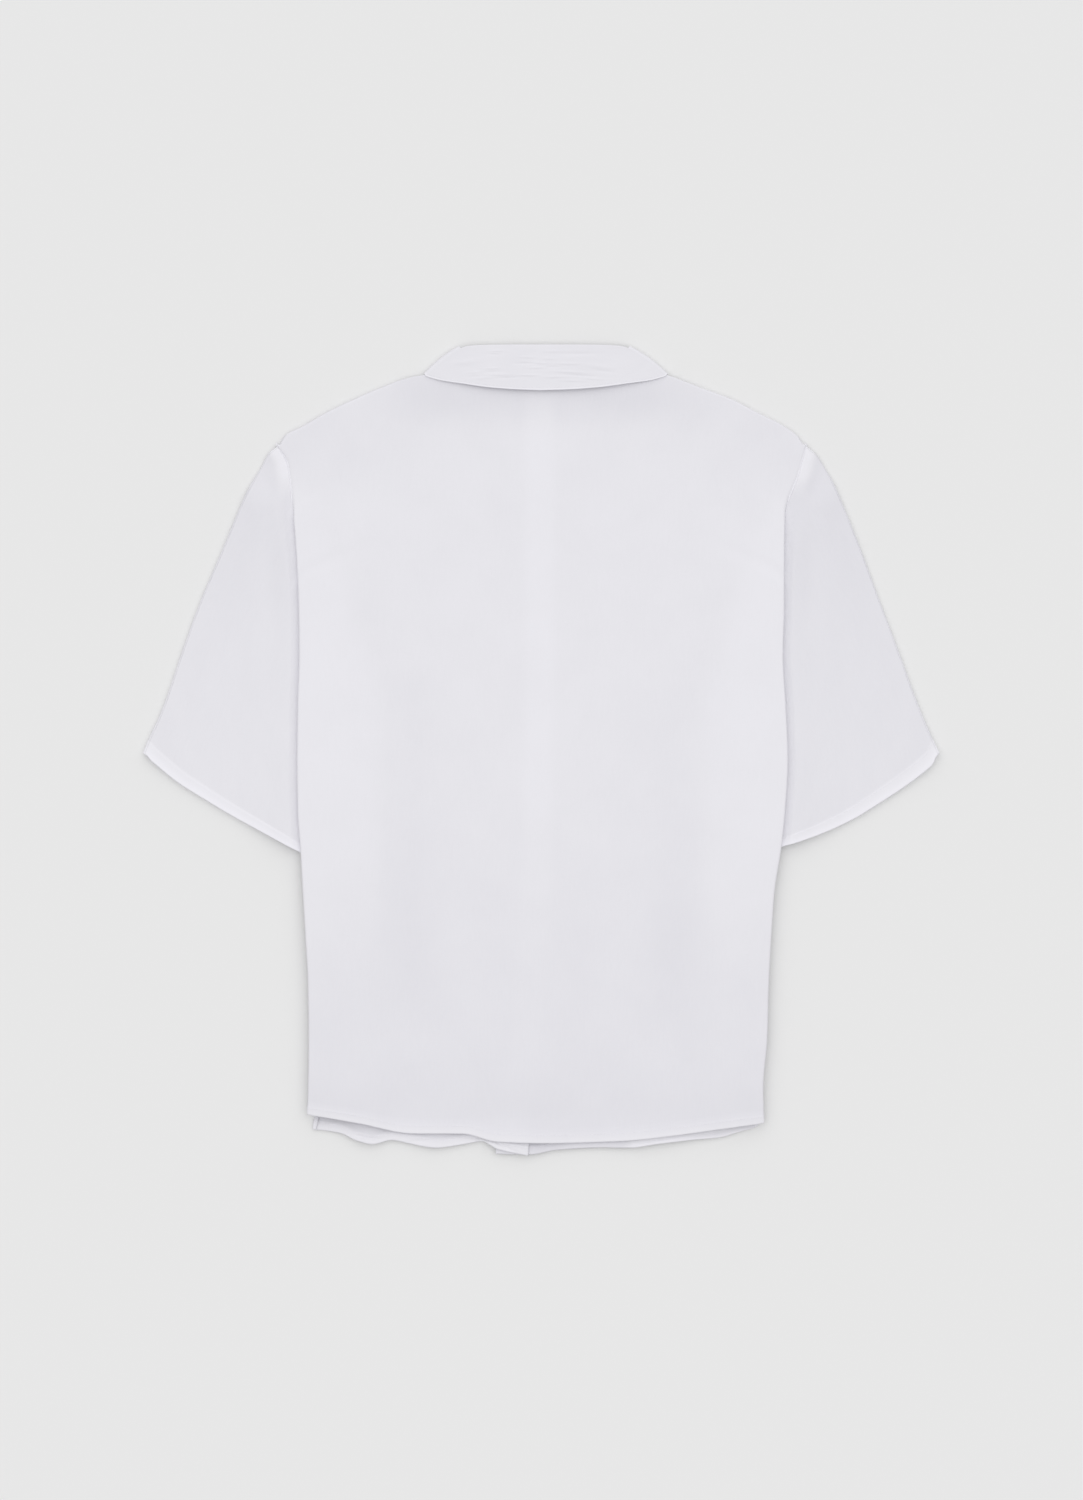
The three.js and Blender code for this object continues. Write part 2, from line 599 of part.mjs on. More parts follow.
// Back panel
function buildBack() {
  const leftY = (v) => sideY(v, BACK_HEM[0].y);
  const rightY = (v) => sideY(v, BACK_HEM[BACK_HEM.length - 1].y);
  const left = (v) => sideEdge(-1, leftY(v), backSideFold(leftY(v)), 0);
  const right = (v) => sideEdge(1, rightY(v), backSideFold(rightY(v)), 0);
  const topX = (u) => lerp(left(1).x, right(1).x, u);
  const onShoulder = (x) => Math.abs(x) > (NECK_X + 1) * collarScale(Math.sign(x));
  const top = (u) => {
    if (u <= 0) return left(1);
    if (u >= 1) return right(1);
    const x = topX(u);
    const side = x < 0 ? -1 : 1;
    if (onShoulder(x)) return shoulderPoint(side, Math.abs(x), 'arcBack');
    return neckPoint(side, BACK_NECK, Math.abs(x) / collarScale(side), -FLAT_TOP.reach);
  };
  const bottom = (u) => {
    if (u <= 0) return left(0);
    if (u >= 1) return right(0);
    const x = lerp(left(0).x, right(0).x, u);
    return new THREE.Vector2(x, read(BACK_HEM, 'x', x, 'y'));
  };
  const topFold = (u) => {
    const x = topX(u);
    return onShoulder(x) ? shoulderFold(x < 0 ? -1 : 1, Math.abs(x), 'arcBack') : FLAT_TOP;
  };
  const topLevel = (u) => {
    const x = topX(u);
    const side = x < 0 ? -1 : 1;
    if (!onShoulder(x)) return COLLAR_MIDDLE + STAND_RADIUS;
    return shoulderSeamLevel(side, Math.abs(x)) + GAP / 2 + topFold(u).drop;
  };
  const relief = (x, y) => {
    const swells = BACK_RELIEF.reduce((sum, row) => sum + swell(x, y, row), 0);
    const middle = closingEdge(y) - OVERLAP / 2;
    const onHem = 2 * HEM_EXTRA * (1 - smoothstep(y, BACK_ON_HEM.full, BACK_ON_HEM.none));
    const ridge = closingLift(y) + 2 * WALL + PLACKET_GAP + CLOSING_ROOM + onHem - BACK_BASE;
    const off = Math.abs(x - middle) - OVERLAP / 2;
    const overClosing = ridge * (1 - smoothstep(off, RIDGE_SIDES.top, RIDGE_SIDES.foot));
    const hems = Math.max(ripple(LEFT_RIPPLES, x, y), ripple(RIGHT_RIPPLES, x, y));
    const collar = OVER_LEAVES * Math.max(collarLift(-1, x, y), collarLift(1, x, y));
    return BACK_BASE + Math.cbrt(Math.max(0, overClosing) ** 3 + hems ** 3 + collar ** 3) + swells;
  };
  const level = (x, y, u, v) => {
    const middle = (px, py) => relief(px, py) + WALL / 2;
    const sideFade = (distance) => {
      const plain = 1 - smoothstep(distance, 0, PLAIN_SIDE.end);
      const overTuck = 1 - SIDE_ROLL.shelfDrop * smoothstep(distance, 0, SIDE_ROLL.shelf)
        - (1 - SIDE_ROLL.shelfDrop) * smoothstep(distance, SIDE_ROLL.start, SIDE_ROLL.end);
      return lerp(overTuck, plain, smoothstep(leftY(v), PLAIN_SIDE.from, PLAIN_SIDE.to));
    };
    const width = right(v).x - left(v).x;
    const leftWeight = sideFade(u * width);
    const rightWeight = sideFade((1 - u) * width);
    const topWeight = 1 - smoothstep((1 - v) * (BODY_TOP - BODY_BOTTOM), 0, SHOULDER_FADE);
    const leftEdge = left(v);
    const rightEdge = right(v);
    const topEdge = top(u);
    const sideGap = leftWeight * (backSideLevel(leftEdge.y) - middle(leftEdge.x, leftEdge.y))
      + rightWeight * (backSideLevel(rightEdge.y) - middle(rightEdge.x, rightEdge.y));
    const atTop = middle(topEdge.x, topEdge.y)
      + sideFade(u * width) * (backSideLevel(BODY_TOP) - middle(left(1).x, BODY_TOP))
      + sideFade((1 - u) * width) * (backSideLevel(BODY_TOP) - middle(right(1).x, BODY_TOP));
    return middle(x, y) + sideGap + topWeight * (topLevel(u) - atTop);
  };
  const neckStations = COLLAR.filter((row) => row.wrap === 0).map((row) => row.seamX).slice(1, -1);
  const stations = (side) => [
    ...[...neckStations, NECK_X].map((x) => side * collarScale(side) * x),
    ...shoulderStations(side),
  ];
  const columns = [0, 1, ...[...stations(-1), 0, ...stations(1)]
    .map((x) => (x - left(1).x) / (right(1).x - left(1).x))].sort((a, b) => a - b);
  return bodyPanel({
    columns,
    bottom,
    top,
    left,
    right,
    level,
    leftFold: (v) => backSideFold(leftY(v)),
    rightFold: (v) => backSideFold(rightY(v)),
    topFold,
    lift: 1,
  });
}

// Fronts. Columns over the closing, as fractions of the width from its edge
const CLOSING_COLUMNS = {
  '-1': [0, 0.03, 0.075, 0.115, 0.135, 0.16, 0.19],
  1: [0, 0.05, 0.1, 0.14, 0.175, 0.2],
};
function buildFront(side) {
  const hem = side < 0 ? LEFT_HEM : RIGHT_HEM;
  const corner = side < 0 ? LEFT_HEM[0].y : RIGHT_HEM[RIGHT_HEM.length - 1].y;
  const edgeY = (v) => sideY(v, corner);
  const sideLine = (v) => sideEdge(side, edgeY(v), frontSideFold(edgeY(v)), tuckAt(edgeY(v)).inset);
  const edgeX = (y) => closingEdge(y) - (side < 0 ? 0 : OVERLAP);
  const hemAtEdge = read(hem, 'x', edgeX(-372), 'y');
  const neckAtEdge = read(FRONT_NECK, 'x', 0, 'y') - FLAT_TOP.reach;
  const closing = (v) => {
    const y = lerp(hemAtEdge, neckAtEdge, v);
    return new THREE.Vector2(edgeX(y), y);
  };
  const neckX = side * collarScale(side) * (NECK_X + 1);
  // s runs from the closing at 0 to the side at 1
  const topX = (s) => lerp(closing(1).x, sideLine(1).x, s);
  const onShoulder = (x) => side * x > side * neckX;
  const topPoint = (s) => {
    if (s <= 0) return closing(1);
    if (s >= 1) return sideLine(1);
    const x = topX(s);
    if (onShoulder(x)) return shoulderPoint(side, Math.abs(x), 'arcFront');
    return neckPoint(side, FRONT_NECK, (side * x) / collarScale(side), -FLAT_TOP.reach);
  };
  const hemPoint = (s) => {
    if (s <= 0) return closing(0);
    if (s >= 1) return sideLine(0);
    const x = lerp(closing(0).x, sideLine(0).x, s);
    return new THREE.Vector2(x, read(hem, 'x', x, 'y'));
  };
  const neckStations = COLLAR.filter((row) => row.wrap === 180).map((row) => row.seamX).slice(1, -1);
  const fixed = [
    ...[...neckStations, NECK_X].map((x) => side * collarScale(side) * x),
    ...shoulderStations(side),
  ].map((x) => (x - closing(1).x) / (sideLine(1).x - closing(1).x));
  const stations = [...CLOSING_COLUMNS[side], ...fixed, 1].sort((a, b) => a - b);
  const columns = side < 0 ? stations.map((s) => 1 - s).reverse() : stations;
  const sOf = (u) => (side < 0 ? 1 - u : u);
  const fold = (v) => frontSideFold(edgeY(v));
  return bodyPanel({
    columns,
    bottom: (u) => hemPoint(sOf(u)),
    top: (u) => topPoint(sOf(u)),
    left: side < 0 ? sideLine : closing,
    right: side < 0 ? closing : sideLine,
    level: (x, y) => frontLevel(side, x, y) + WALL / 2,
    leftFold: side < 0 ? fold : null,
    rightFold: side < 0 ? null : fold,
    topFold: (u) => {
      const x = topX(sOf(u));
      return onShoulder(x) ? shoulderFold(side, Math.abs(x), 'arcFront') : FLAT_TOP;
    },
    lift: -1,
  });
}

// Sleeve: a flattened tube from the armhole to the cuff
const SLEEVE_ROWS = [0, 0.035, 0.07, 0.12, 0.2, 0.3, 0.42, 0.55, 0.68, 0.8, 0.89];
const SLEEVE_ACROSS = 9;
const SLEEVE_FOLD_STEPS = 4;
const OUTER_RADIUS = 1.7; // of the folded top edge
const LOFT = { whole: 0.5, fold: 1.4, cuff: 0.8, besideBody: 2.6 }; // how the sleeve's back swells up
const UNDERARM_X = 201; // the sleeve's underarm corner lies under the body's edge
function buildSleeve(side) {
  const column = side < 0 ? 'left' : 'right';
  const outside = (x, y) => side * (x - sideOutline(side, y));
  const frontUnder = (x, y) => {
    const head = lerp(SLEEVE_FRONT_LEVEL, WALL + GAP, smoothstep(y, 226, 270));
    return head * (1 - smoothstep(outside(x, y), 2, 30));
  };
  const cuffTip = new THREE.Vector2(read(SLEEVE_FOLD, 'y', -4, column), -4);
  const insetAt = (a) => lerp(SLEEVE_HEAD_INSET, OUTER_RADIUS + WALL / 2, smoothstep(a, 0.015, 0.07));
  const foldLine = (a) => {
    const y = lerp(SLEEVE_HEAD_Y, cuffTip.y, a);
    const slope = (read(SLEEVE_FOLD, 'y', y + 2, column) - read(SLEEVE_FOLD, 'y', y - 2, column)) / 4;
    const outward = new THREE.Vector2(side, -side * slope).normalize();
    return new THREE.Vector2(read(SLEEVE_FOLD, 'y', y, column), y).addScaledVector(outward, -insetAt(a));
  };
  const head = (b) => {
    const y = lerp(foldLine(0).y, UNDERARM_Y, b);
    const start = foldLine(0).x;
    const x = sideOutline(side, y) - side * read(SLEEVE_INSERT, 'y', y, 'depth');
    return new THREE.Vector2(lerp(start, x, smoothstep(b, 0, 0.06)), y);
  };
  const corner = new THREE.Vector2(side * UNDERARM_X, read(CUFF, 'x', UNDERARM_X, column));
  const underarm = (a) => {
    const y = lerp(UNDERARM_Y, corner.y, a);
    return new THREE.Vector2(lerp(head(1).x, corner.x, a), y);
  };
  const cuffStart = foldLine(1);
  const cuff = (b) => {
    const x = lerp(Math.abs(cuffStart.x), UNDERARM_X, b);
    const y = read(CUFF, 'x', x, column);
    return new THREE.Vector2(side * x, lerp(cuffStart.y, y, smoothstep(b, 0, 0.03)));
  };
  const length = cuffTip.distanceTo(foldLine(0));
  const hemStart = 1 - CUFF_HEM / length;
  const rows = [...SLEEVE_ROWS, hemStart - 0.002, hemStart, 1];
  const cuffExtra = (point) => CUFF_EXTRA * smoothstep(outside(point.x, point.y), 8, 24);
  const across = spread(SLEEVE_ACROSS);
  const grid = rows.map((a) => {
    const at = (b) => patch(head, cuff, foldLine, underarm, b, a);
    const hem = (b) => (a >= hemStart ? cuffExtra(at(b)) : 0);
    const under = (b) => frontUnder(at(b).x, at(b).y) + (WALL + hem(b)) / 2;
    const loft = (b) => {
      const free = smoothstep(outside(at(b).x, at(b).y), 0, 40);
      const besideBody = smoothstep(outside(at(b).x, at(b).y), 2, 18) * (1 - free);
      const nearFold = 1 - smoothstep(b, 0, 0.2);
      const nearCuff = smoothstep(a, 0.75, 1);
      const raised = free * (LOFT.whole + LOFT.fold * nearFold + LOFT.cuff * nearCuff);
      return (raised + LOFT.besideBody * besideBody) * smoothstep(a, 0, 0.12);
    };
    const over = (b) => under(b) + SLEEVE_PAIR + hem(b) + loft(b);
    const point = (b, z) => new THREE.Vector3(at(b).x, at(b).y, z);
    const bend = (b, towards, from, to) => {
      const edge = at(b);
      const inner = at(towards);
      const outward = edge.clone().sub(inner).normalize();
      const radius = (over(b) - under(b)) / 2;
      const middle = (over(b) + under(b)) / 2;
      return Array.from({ length: SLEEVE_FOLD_STEPS - 1 }, (_, k) => {
        const angle = lerp(from, to, (k + 1) / SLEEVE_FOLD_STEPS);
        const out = radius * Math.sin(angle);
        return new THREE.Vector3(
          edge.x + outward.x * out,
          edge.y + outward.y * out,
          middle + radius * Math.cos(angle),
        );
      });
    };
    return [
      ...across.map((b) => point(b, over(b))),
      ...bend(1, 0.98, 0, Math.PI),
      ...[...across].reverse().map((b) => point(b, under(b))),
      ...bend(0, 0.02, Math.PI, 0),
    ];
  });
  const thickness = (i, j) => WALL + (rows[i] >= hemStart ? cuffExtra(grid[i][j]) : 0);
  return clothWall(grid, thickness, true);
}

// Collar: stand and fall in one, folded along the roll line and wrapped round the neck
const COLLAR_FOLD_STEPS = 4;
function buildCollar() {
  const half = (side) => {
    const scale = collarScale(side);
    const crease = COLLAR.find((row) => row.wrap === 90);
    const along = new THREE.Vector2(scale * (crease.rollX - crease.edgeX), crease.rollY - crease.edgeY);
    const outward = new THREE.Vector2(side * along.y, -along.x).normalize();
    const seamPoint = (row) => {
      if (row.seamX === crease.seamX) return new THREE.Vector2(side * scale * row.seamX, row.seamY);
      return neckPoint(side, row.wrap === 0 ? BACK_NECK : FRONT_NECK, row.seamX, GAP + SEAM_SLACK);
    };
    return COLLAR.map((row) => {
      const seam = seamPoint(row);
      const roll = new THREE.Vector2(side * scale * row.rollX, row.rollY);
      const edge = new THREE.Vector2(side * scale * row.edgeX, row.edgeY);
      const wrap = degToRad(row.wrap);
      const place = (plan, radius, fall) => {
        const spreadOut = radius * Math.sin(wrap);
        const loft = FALL_LOFT * fall * Math.max(0, Math.cos(wrap));
        return new THREE.Vector3(
          plan.x + outward.x * spreadOut,
          plan.y + outward.y * spreadOut,
          COLLAR_MIDDLE + radius * Math.cos(wrap) + loft,
        );
      };
      const bendRadius = (FALL_RADIUS - STAND_RADIUS) / 2;
      const upward = roll.clone().sub(seam).normalize();
      const points = [0, 0.5, 1].map((t) => place(seam.clone().lerp(roll, t), STAND_RADIUS, 0));
      for (let k = 1; k < COLLAR_FOLD_STEPS; k += 1) {
        const angle = (Math.PI * k) / COLLAR_FOLD_STEPS;
        const plan = roll.clone().addScaledVector(upward, bendRadius * Math.sin(angle));
        points.push(place(plan, STAND_RADIUS + bendRadius * (1 - Math.cos(angle)), 0));
      }
      for (const t of [0, 0.35, 0.7, 1]) {
        points.push(place(roll.clone().lerp(edge, t), FALL_RADIUS, t));
      }
      return points;
    });
  };
  const grid = [...half(-1).reverse(), ...half(1).slice(1)];
  return clothWall(grid, () => WALL);
}

// Button with a raised rim, its face to the surface
function buildButton() {
  const radius = BUTTON_DIAMETER / 2;
  const profile = [
    [0, 0.5], [radius * 0.6, 0.5], [radius * 0.8, 0], [radius, 0.7],
    [radius * 0.8, BUTTON_HEIGHT], [0, BUTTON_HEIGHT],
  ].map(([r, z]) => new THREE.Vector2(r, z));
  const geometry = new THREE.LatheGeometry(profile, 12);
  geometry.rotateX(Math.PI / 2);
  return geometry;
}

const shirt = new THREE.Group();
const cloth = new THREE.MeshStandardMaterial(MATERIAL_CLOTH);
const button = new THREE.MeshStandardMaterial(MATERIAL_BUTTON);

function add(name, geometry, material) {
  const mesh = new THREE.Mesh(geometry, material);
  mesh.name = name;
  shirt.add(mesh);
  return mesh;
}

add('back_panel', buildBack(), cloth);
add('front_left', buildFront(-1), cloth);
add('front_right', buildFront(1), cloth);
add('sleeve_left', buildSleeve(-1), cloth);
add('sleeve_right', buildSleeve(1), cloth);
add('collar', buildCollar(), cloth);
for (let k = 0; k < BUTTON_COUNT; k += 1) {
  const y = FIRST_BUTTON_Y - k * BUTTON_STEP;
  const mesh = add(`button_${k + 1}`, buildButton(), button);
  mesh.position.set(closingEdge(y) - OVERLAP / 2, y, 0.25);
}

export default shirt;
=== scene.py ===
import math

import bpy
import numpy as np
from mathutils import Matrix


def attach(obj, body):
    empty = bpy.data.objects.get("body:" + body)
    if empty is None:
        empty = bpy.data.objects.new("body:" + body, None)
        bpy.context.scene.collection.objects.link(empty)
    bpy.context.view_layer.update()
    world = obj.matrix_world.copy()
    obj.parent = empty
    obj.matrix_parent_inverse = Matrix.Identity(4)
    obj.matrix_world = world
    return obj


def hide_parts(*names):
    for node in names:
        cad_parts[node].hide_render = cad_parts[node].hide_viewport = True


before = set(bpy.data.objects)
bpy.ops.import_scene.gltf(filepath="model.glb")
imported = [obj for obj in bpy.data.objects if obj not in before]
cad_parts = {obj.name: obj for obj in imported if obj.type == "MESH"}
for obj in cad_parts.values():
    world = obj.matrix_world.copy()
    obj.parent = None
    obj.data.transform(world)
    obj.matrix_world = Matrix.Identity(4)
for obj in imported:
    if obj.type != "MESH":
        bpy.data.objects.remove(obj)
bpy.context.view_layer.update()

# Sizes are in millimetres unless a comment says otherwise. "left" and "right" are the wearer's,
# which are also left and right in this view of the shirt's back.


# Camera
# Straight above the middle of the shirt, so that 0.92 mm of it fill one pixel of the photo,
# with a long lens as for a product picture.
PHOTO_HEIGHT = 1500
MM_PER_PIXEL = 0.92
LENS = 85
SENSOR = 36

camera_data = bpy.data.cameras.new("camera")
camera_data.lens = LENS
camera_data.sensor_width = SENSOR
camera_data.clip_end = 20
camera = bpy.data.objects.new("camera", camera_data)
camera.location = (0, 0, PHOTO_HEIGHT * MM_PER_PIXEL / 1000 * LENS / SENSOR)
bpy.context.scene.collection.objects.link(camera)
bpy.context.scene.camera = camera


# Floor and light
# A pale matt paper floor, a large soft lamp high up on the collar's side and an even white
# surround, which leave only soft shadows close round the shirt.
FLOOR_HALF = 4000
FLOOR_SHADE = "e7e7e7"
SURROUND_STRENGTH = 0.50
LAMP_STRENGTH = 1.68
LAMP_SPREAD = 120  # degrees
LAMP_TILT = 20  # degrees from straight down, towards the collar


def linear(shade):
    """The linear colour of an sRGB hex value."""
    channels = [int(shade[i:i + 2], 16) / 255 for i in (0, 2, 4)]
    return [c / 12.92 if c <= 0.04045 else ((c + 0.055) / 1.055) ** 2.4 for c in channels] + [1.0]


def add_node(tree, kind, settings=None, links=None):
    """Adds a node, sets its sockets or properties and links sockets to it."""
    node = tree.nodes.new(kind)
    for key, value in (settings or {}).items():
        if isinstance(key, str) and hasattr(node, key) and key not in node.inputs:
            setattr(node, key, value)
        else:
            node.inputs[key].default_value = value
    for key, socket in (links or {}).items():
        tree.links.new(socket, node.inputs[key])
    return node


def new_material(name):
    """An empty material and its node tree."""
    material = bpy.data.materials.new(name)
    material.use_nodes = True
    material.node_tree.nodes.clear()
    return material, material.node_tree


def noise(tree, vector, scale, detail, distortion=0.0):
    """A noise texture, stretched where its scale has three numbers."""
    if isinstance(scale, tuple):
        vector = add_node(tree, "ShaderNodeMapping", {"Scale": scale}, {"Vector": vector}).outputs[0]
        scale = 1
    settings = {"Scale": scale, "Detail": detail, "Distortion": distortion}
    return add_node(tree, "ShaderNodeTexNoise", settings, {"Vector": vector}).outputs[0]


def bump(tree, height, strength, distance, under=None):
    """Normals for bumps of a height in metres, over those that coarser bumps give."""
    links = {"Height": height} if under is None else {"Height": height, "Normal": under}
    settings = {"Strength": strength, "Distance": distance}
    return add_node(tree, "ShaderNodeBump", settings, links).outputs[0]


def close_with_shader(tree, settings, links):
    shader = add_node(tree, "ShaderNodeBsdfPrincipled", settings, links)
    add_node(tree, "ShaderNodeOutputMaterial", None, {"Surface": shader.outputs[0]})


def new_object(name, points, faces):
    """A smooth mesh object from points in millimetres."""
    mesh = bpy.data.meshes.new(name)
    mesh.from_pydata((np.array(points) / 1000).tolist(), [], faces)
    mesh.polygons.foreach_set("use_smooth", [True] * len(mesh.polygons))
    mesh.update()
    made = bpy.data.objects.new(name, mesh)
    bpy.context.scene.collection.objects.link(made)
    return made


# Matt paper: hardly any gloss, and so even that a fine grain is all there is to see
paper, tree = new_material("matt_paper")
position = add_node(tree, "ShaderNodeTexCoord").outputs["Object"]
close_with_shader(
    tree,
    {"Base Color": linear(FLOOR_SHADE), "Roughness": 0.95, "Specular IOR Level": 0.1},
    {"Normal": bump(tree, noise(tree, position, 900, 3), 0.1, 0.0001)},
)

floor_corners = [(FLOOR_HALF * x, FLOOR_HALF * y, 0) for x, y in ((-1, -1), (1, -1), (1, 1), (-1, 1))]
floor = new_object("floor", floor_corners, [(0, 1, 2, 3)])
floor.data.materials.append(paper)

world = bpy.data.worlds.new("studio")
world.use_nodes = True
surround = world.node_tree.nodes["Background"]
surround.inputs["Color"].default_value = (1, 1, 1, 1)
surround.inputs["Strength"].default_value = SURROUND_STRENGTH
bpy.context.scene.world = world

lamp_data = bpy.data.lights.new("soft_lamp", "SUN")
lamp_data.energy = LAMP_STRENGTH
lamp_data.angle = math.radians(LAMP_SPREAD)
lamp = bpy.data.objects.new("soft_lamp", lamp_data)
lamp.rotation_euler = (-math.radians(LAMP_TILT), 0, 0)
bpy.context.scene.collection.objects.link(lamp)

bpy.context.scene.view_settings.view_transform = "Standard"
bpy.context.scene.view_settings.look = "None"


# The two fronts
# Each is cut in one piece of crinkled cotton gauze with a turned placket and hem. They lie lowest,
# the right one over the left as it is worn, and roll up at the sides and shoulders to their seams.
SOLID_WALL = 1.0  # of the CAD solids, whose middle surface the cloth follows
CLOTH = 0.6  # gauze with its crimp
GAP = 0.3  # between pieces at a seam
HEM_EXTRA = 0.5  # how much thicker a turned hem is
HEM_TONE = 0.6  # paler, as it is three layers
BODY_HEM = 8  # height of the body's turned hem
HEM_BLEND = 0.6  # half of the step at the top of a turned hem
HEM_LIFT = 2.4  # how far the body's hems stand off the surface
HEM_LIFT_FADE = (-368, -335)  # y where that ends
EDGE_ROUND = 0.25  # at most, of the cloth's own edge
LIP = 0.5  # straight end of a folded edge
OVERLAP = 30  # width of the closing
PLACKET_GAP = 0.5  # between the fronts there
PLACKET_RAMP = 15  # over which a front comes down beside it
ON_CLOSING_HEM = (-362, -345)  # y where the left front comes down from the right one's hem
HEM_CREASE_FADE = (-356, -346)
COLLAR_LIFT = 1.45  # of the fronts over the collar's leaves
COLLAR_LIFT_FADE = (14, 34)  # distance from a leaf where that ends
LEFT_COLLAR_SCALE = 0.93  # the neck is a little narrower at the left
TIP_RADIUS_FRONT = 1.6
NECK_X = 109  # end of the neck, where the shoulder starts
BODY_BOTTOM = -345
BODY_TOP = 279.5
LOWEST_HEM = -372
LEFT_FRONT_TONE = -0.45  # deeper than the back, in whose shadow the fronts' hems show
RIGHT_FRONT_TONE = -1.0
RIGHT_CORNER_TONE = -0.15  # beyond the small fold near the right side, painted lighter where the raised cloth lies out of the shadow
RIGHT_FOLD_X = (74, 84)
HEM_STITCH_IN = 1.4  # from the top of the turned hem
EDGE_STITCH_IN = 2  # from either edge of the closing


def table(names, *rows):
    """A short table, kept by column."""
    return dict(zip(names.split(), np.array(rows, float).T))


# Side edges as seen from above
SIDES = table(
    "y left right",
    (-345, -215.7, 204.6), (-310, -214.4, 203.8), (-265, -213.9, 207.4), (-215, -214.5, 208.8),
    (-172, -216.8, 211.1), (-128, -219.4, 214.3), (-92, -221.4, 220.0), (-55, -224.0, 223.8),
    (-10, -224.5, 226.4), (40, -224.0, 224.4), (88, -222.6, 221.9), (130, -223.1, 223.0),
    (175, -224.9, 223.1), (212, -227.7, 223.6), (226, -228.7, 225.6), (249, -230.5, 234.0),
    (265, -233.2, 238.5), (280, -243.0, 242.6),
)
# How the side edges are folded: degrees that the edge rolls over, cloth in that roll, how far the
# edge is tucked in, degrees that its end bends to the seam, how much further in the front's fold
# lies, 1 where back and front are seamed together and 0 where the back lies on the sleeve at rest
TUCK = table(
    "y turn arc_back arc_front depth tip inset sewn rest",
    (-349, 180, 3.6, 2.0, 6, 50, 5.4, 1, 6.5),
    (-334, 180, 4.0, 2.3, 9, 80, 6.5, 1, 6.5),
    (-300, 180, 4.8, 2.5, 16, 90, 9, 1, 6.5),
    (-118, 180, 5.4, 2.5, 26, 90, 10, 1, 6.5),
    (100, 180, 5.4, 2.5, 26, 90, 6, 1, 6.5),
    (146, 180, 5.2, 2.5, 21, 90, 4, 1, 8.0),
    (168, 180, 4.8, 2.5, 14, 0, 1.5, 0, 6.6),
    (190, 180, 4.6, 2.5, 2, 0, 1, 0, 6.5),
    (208, 120, 3.6, 1.6, 0, 0, 1, 0, 5.7),
    (226, 50, 3.2, 2.0, 0, 0, 1, 0, 5.6),
    (244, 24, 3.0, 2.0, 0, 0, 1, 0, 5.0),
    (262, 14, 3.0, 2.0, 0, 0, 0.7, 0, 4.15),
    (280, 8, 3.0, 2.0, 0, 0, 0, 0, 3.9),
)
LEFT_HEM = table(
    "x y",
    (-212, -348.8), (-199, -349.8), (-184, -352.4), (-170, -358.8), (-155, -362.2), (-138, -358.6),
    (-120, -362.0), (-97, -365.6), (-72, -362.5), (-55, -359.6), (-40, -366.7), (-12.4, -372.7),
)
RIGHT_HEM = table(
    "x y",
    (-44, -371.0), (-11, -371.8), (14, -367.6), (57, -365.3), (81, -365.6), (106, -362.1),
    (138, -358.4), (163, -356.2), (184, -350.4), (204, -345.8),
)
# Shoulder line, and the cloth that rolls over to the seam at its edge
SHOULDER = table(
    "left_x left_y right_x right_y arc_back arc_front",
    (103.5, 345.4, 112, 346.0, 1.2, 1.2),
    (120, 342.8, 123, 342.2, 1.5, 1.5),
    (147, 333.4, 146, 333.4, 2.6, 2.2),
    (173.4, 321.9, 173, 323.5, 3.0, 2.5),
    (198, 310.2, 197.5, 310.9, 3.0, 2.5),
    (221.3, 296.8, 222.2, 298.3, 3.0, 2.5),
    (234, 290.6, 233.5, 290.6, 3.0, 2.5),
    (243, 281.4, 244, 281.9, 3.0, 2.5),
)
FRONT_NECK = table(
    "x y",
    (-18, 262.0), (10, 262.4), (35, 268.0), (65, 281.0), (92, 303.0), (104, 325.0), (109, 346.6),
)
# Edge of the left front at the closing, and how far the buttons hold the right one off the surface
FRONT_EDGE = table(
    "y x lift",
    (-373, -12.4, 0.4), (-345, -10.0, 0.9), (-298, -4.0, 2.6), (-250, 2.0, 2.6),
    (-120, 10.0, 2.6), (120, 13.0, 2.6), (263, 13.0, 2.6),
)
# Half of the collar from the middle of the back to its front end: degrees round the folded side of
# the neck, neck seam, roll line and outer edge. The fronts lie on its last rows, the front leaves
COLLAR = table(
    "station wrap seam_x seam_y roll_x roll_y edge_x edge_y",
    (0, 0, 0, 337.9, 0, 371.2, 0, 330.0),
    (1, 0, 24, 338.3, 22, 371.2, 25, 330.8),
    (2, 0, 50, 339.9, 42, 371.1, 51, 332.6),
    (3, 0, 76, 342.7, 60, 370.9, 78, 336.2),
    (4, 0, 98, 346.0, 74, 370.0, 101, 339.6),
    *((5 + k, 45 * k, 108.2, 347.5, 80.4, 368.1, 114, 343.2) for k in range(5)),
    (10, 180, 103.3, 325.6, 80.0, 333.0, 119, 318.0),
    (11, 180, 91.2, 303.8, 77.0, 309.5, 116, 288.0),
    (12, 180, 64.4, 281.9, 59.0, 290.5, 104, 262.0),
    (13, 180, 34.6, 268.8, 32.5, 275.5, 86, 240.0),
    (14, 180, 1.0, 263.2, 1.0, 268.0, 62, 222.0),
)
# Small folds at the fronts' hems, as soft troughs and ridges
HEM_CREASES = table(
    "x y long wide tilt height",
    (-162, -355.6, 20, 1.5, 82, -1.3), (-112, -359.5, 16, 1.6, 96, -0.8),
    (-60, -357.0, 20, 1.8, 84, -0.7), (-36, -363.0, 16, 1.6, 62, -1.0),
    (79, -361.5, 8, 1.4, 12, -1.2), (108, -358.0, 18, 1.5, 99, -0.8),
    (160, -352.0, 20, 1.5, 101, -0.9),
)
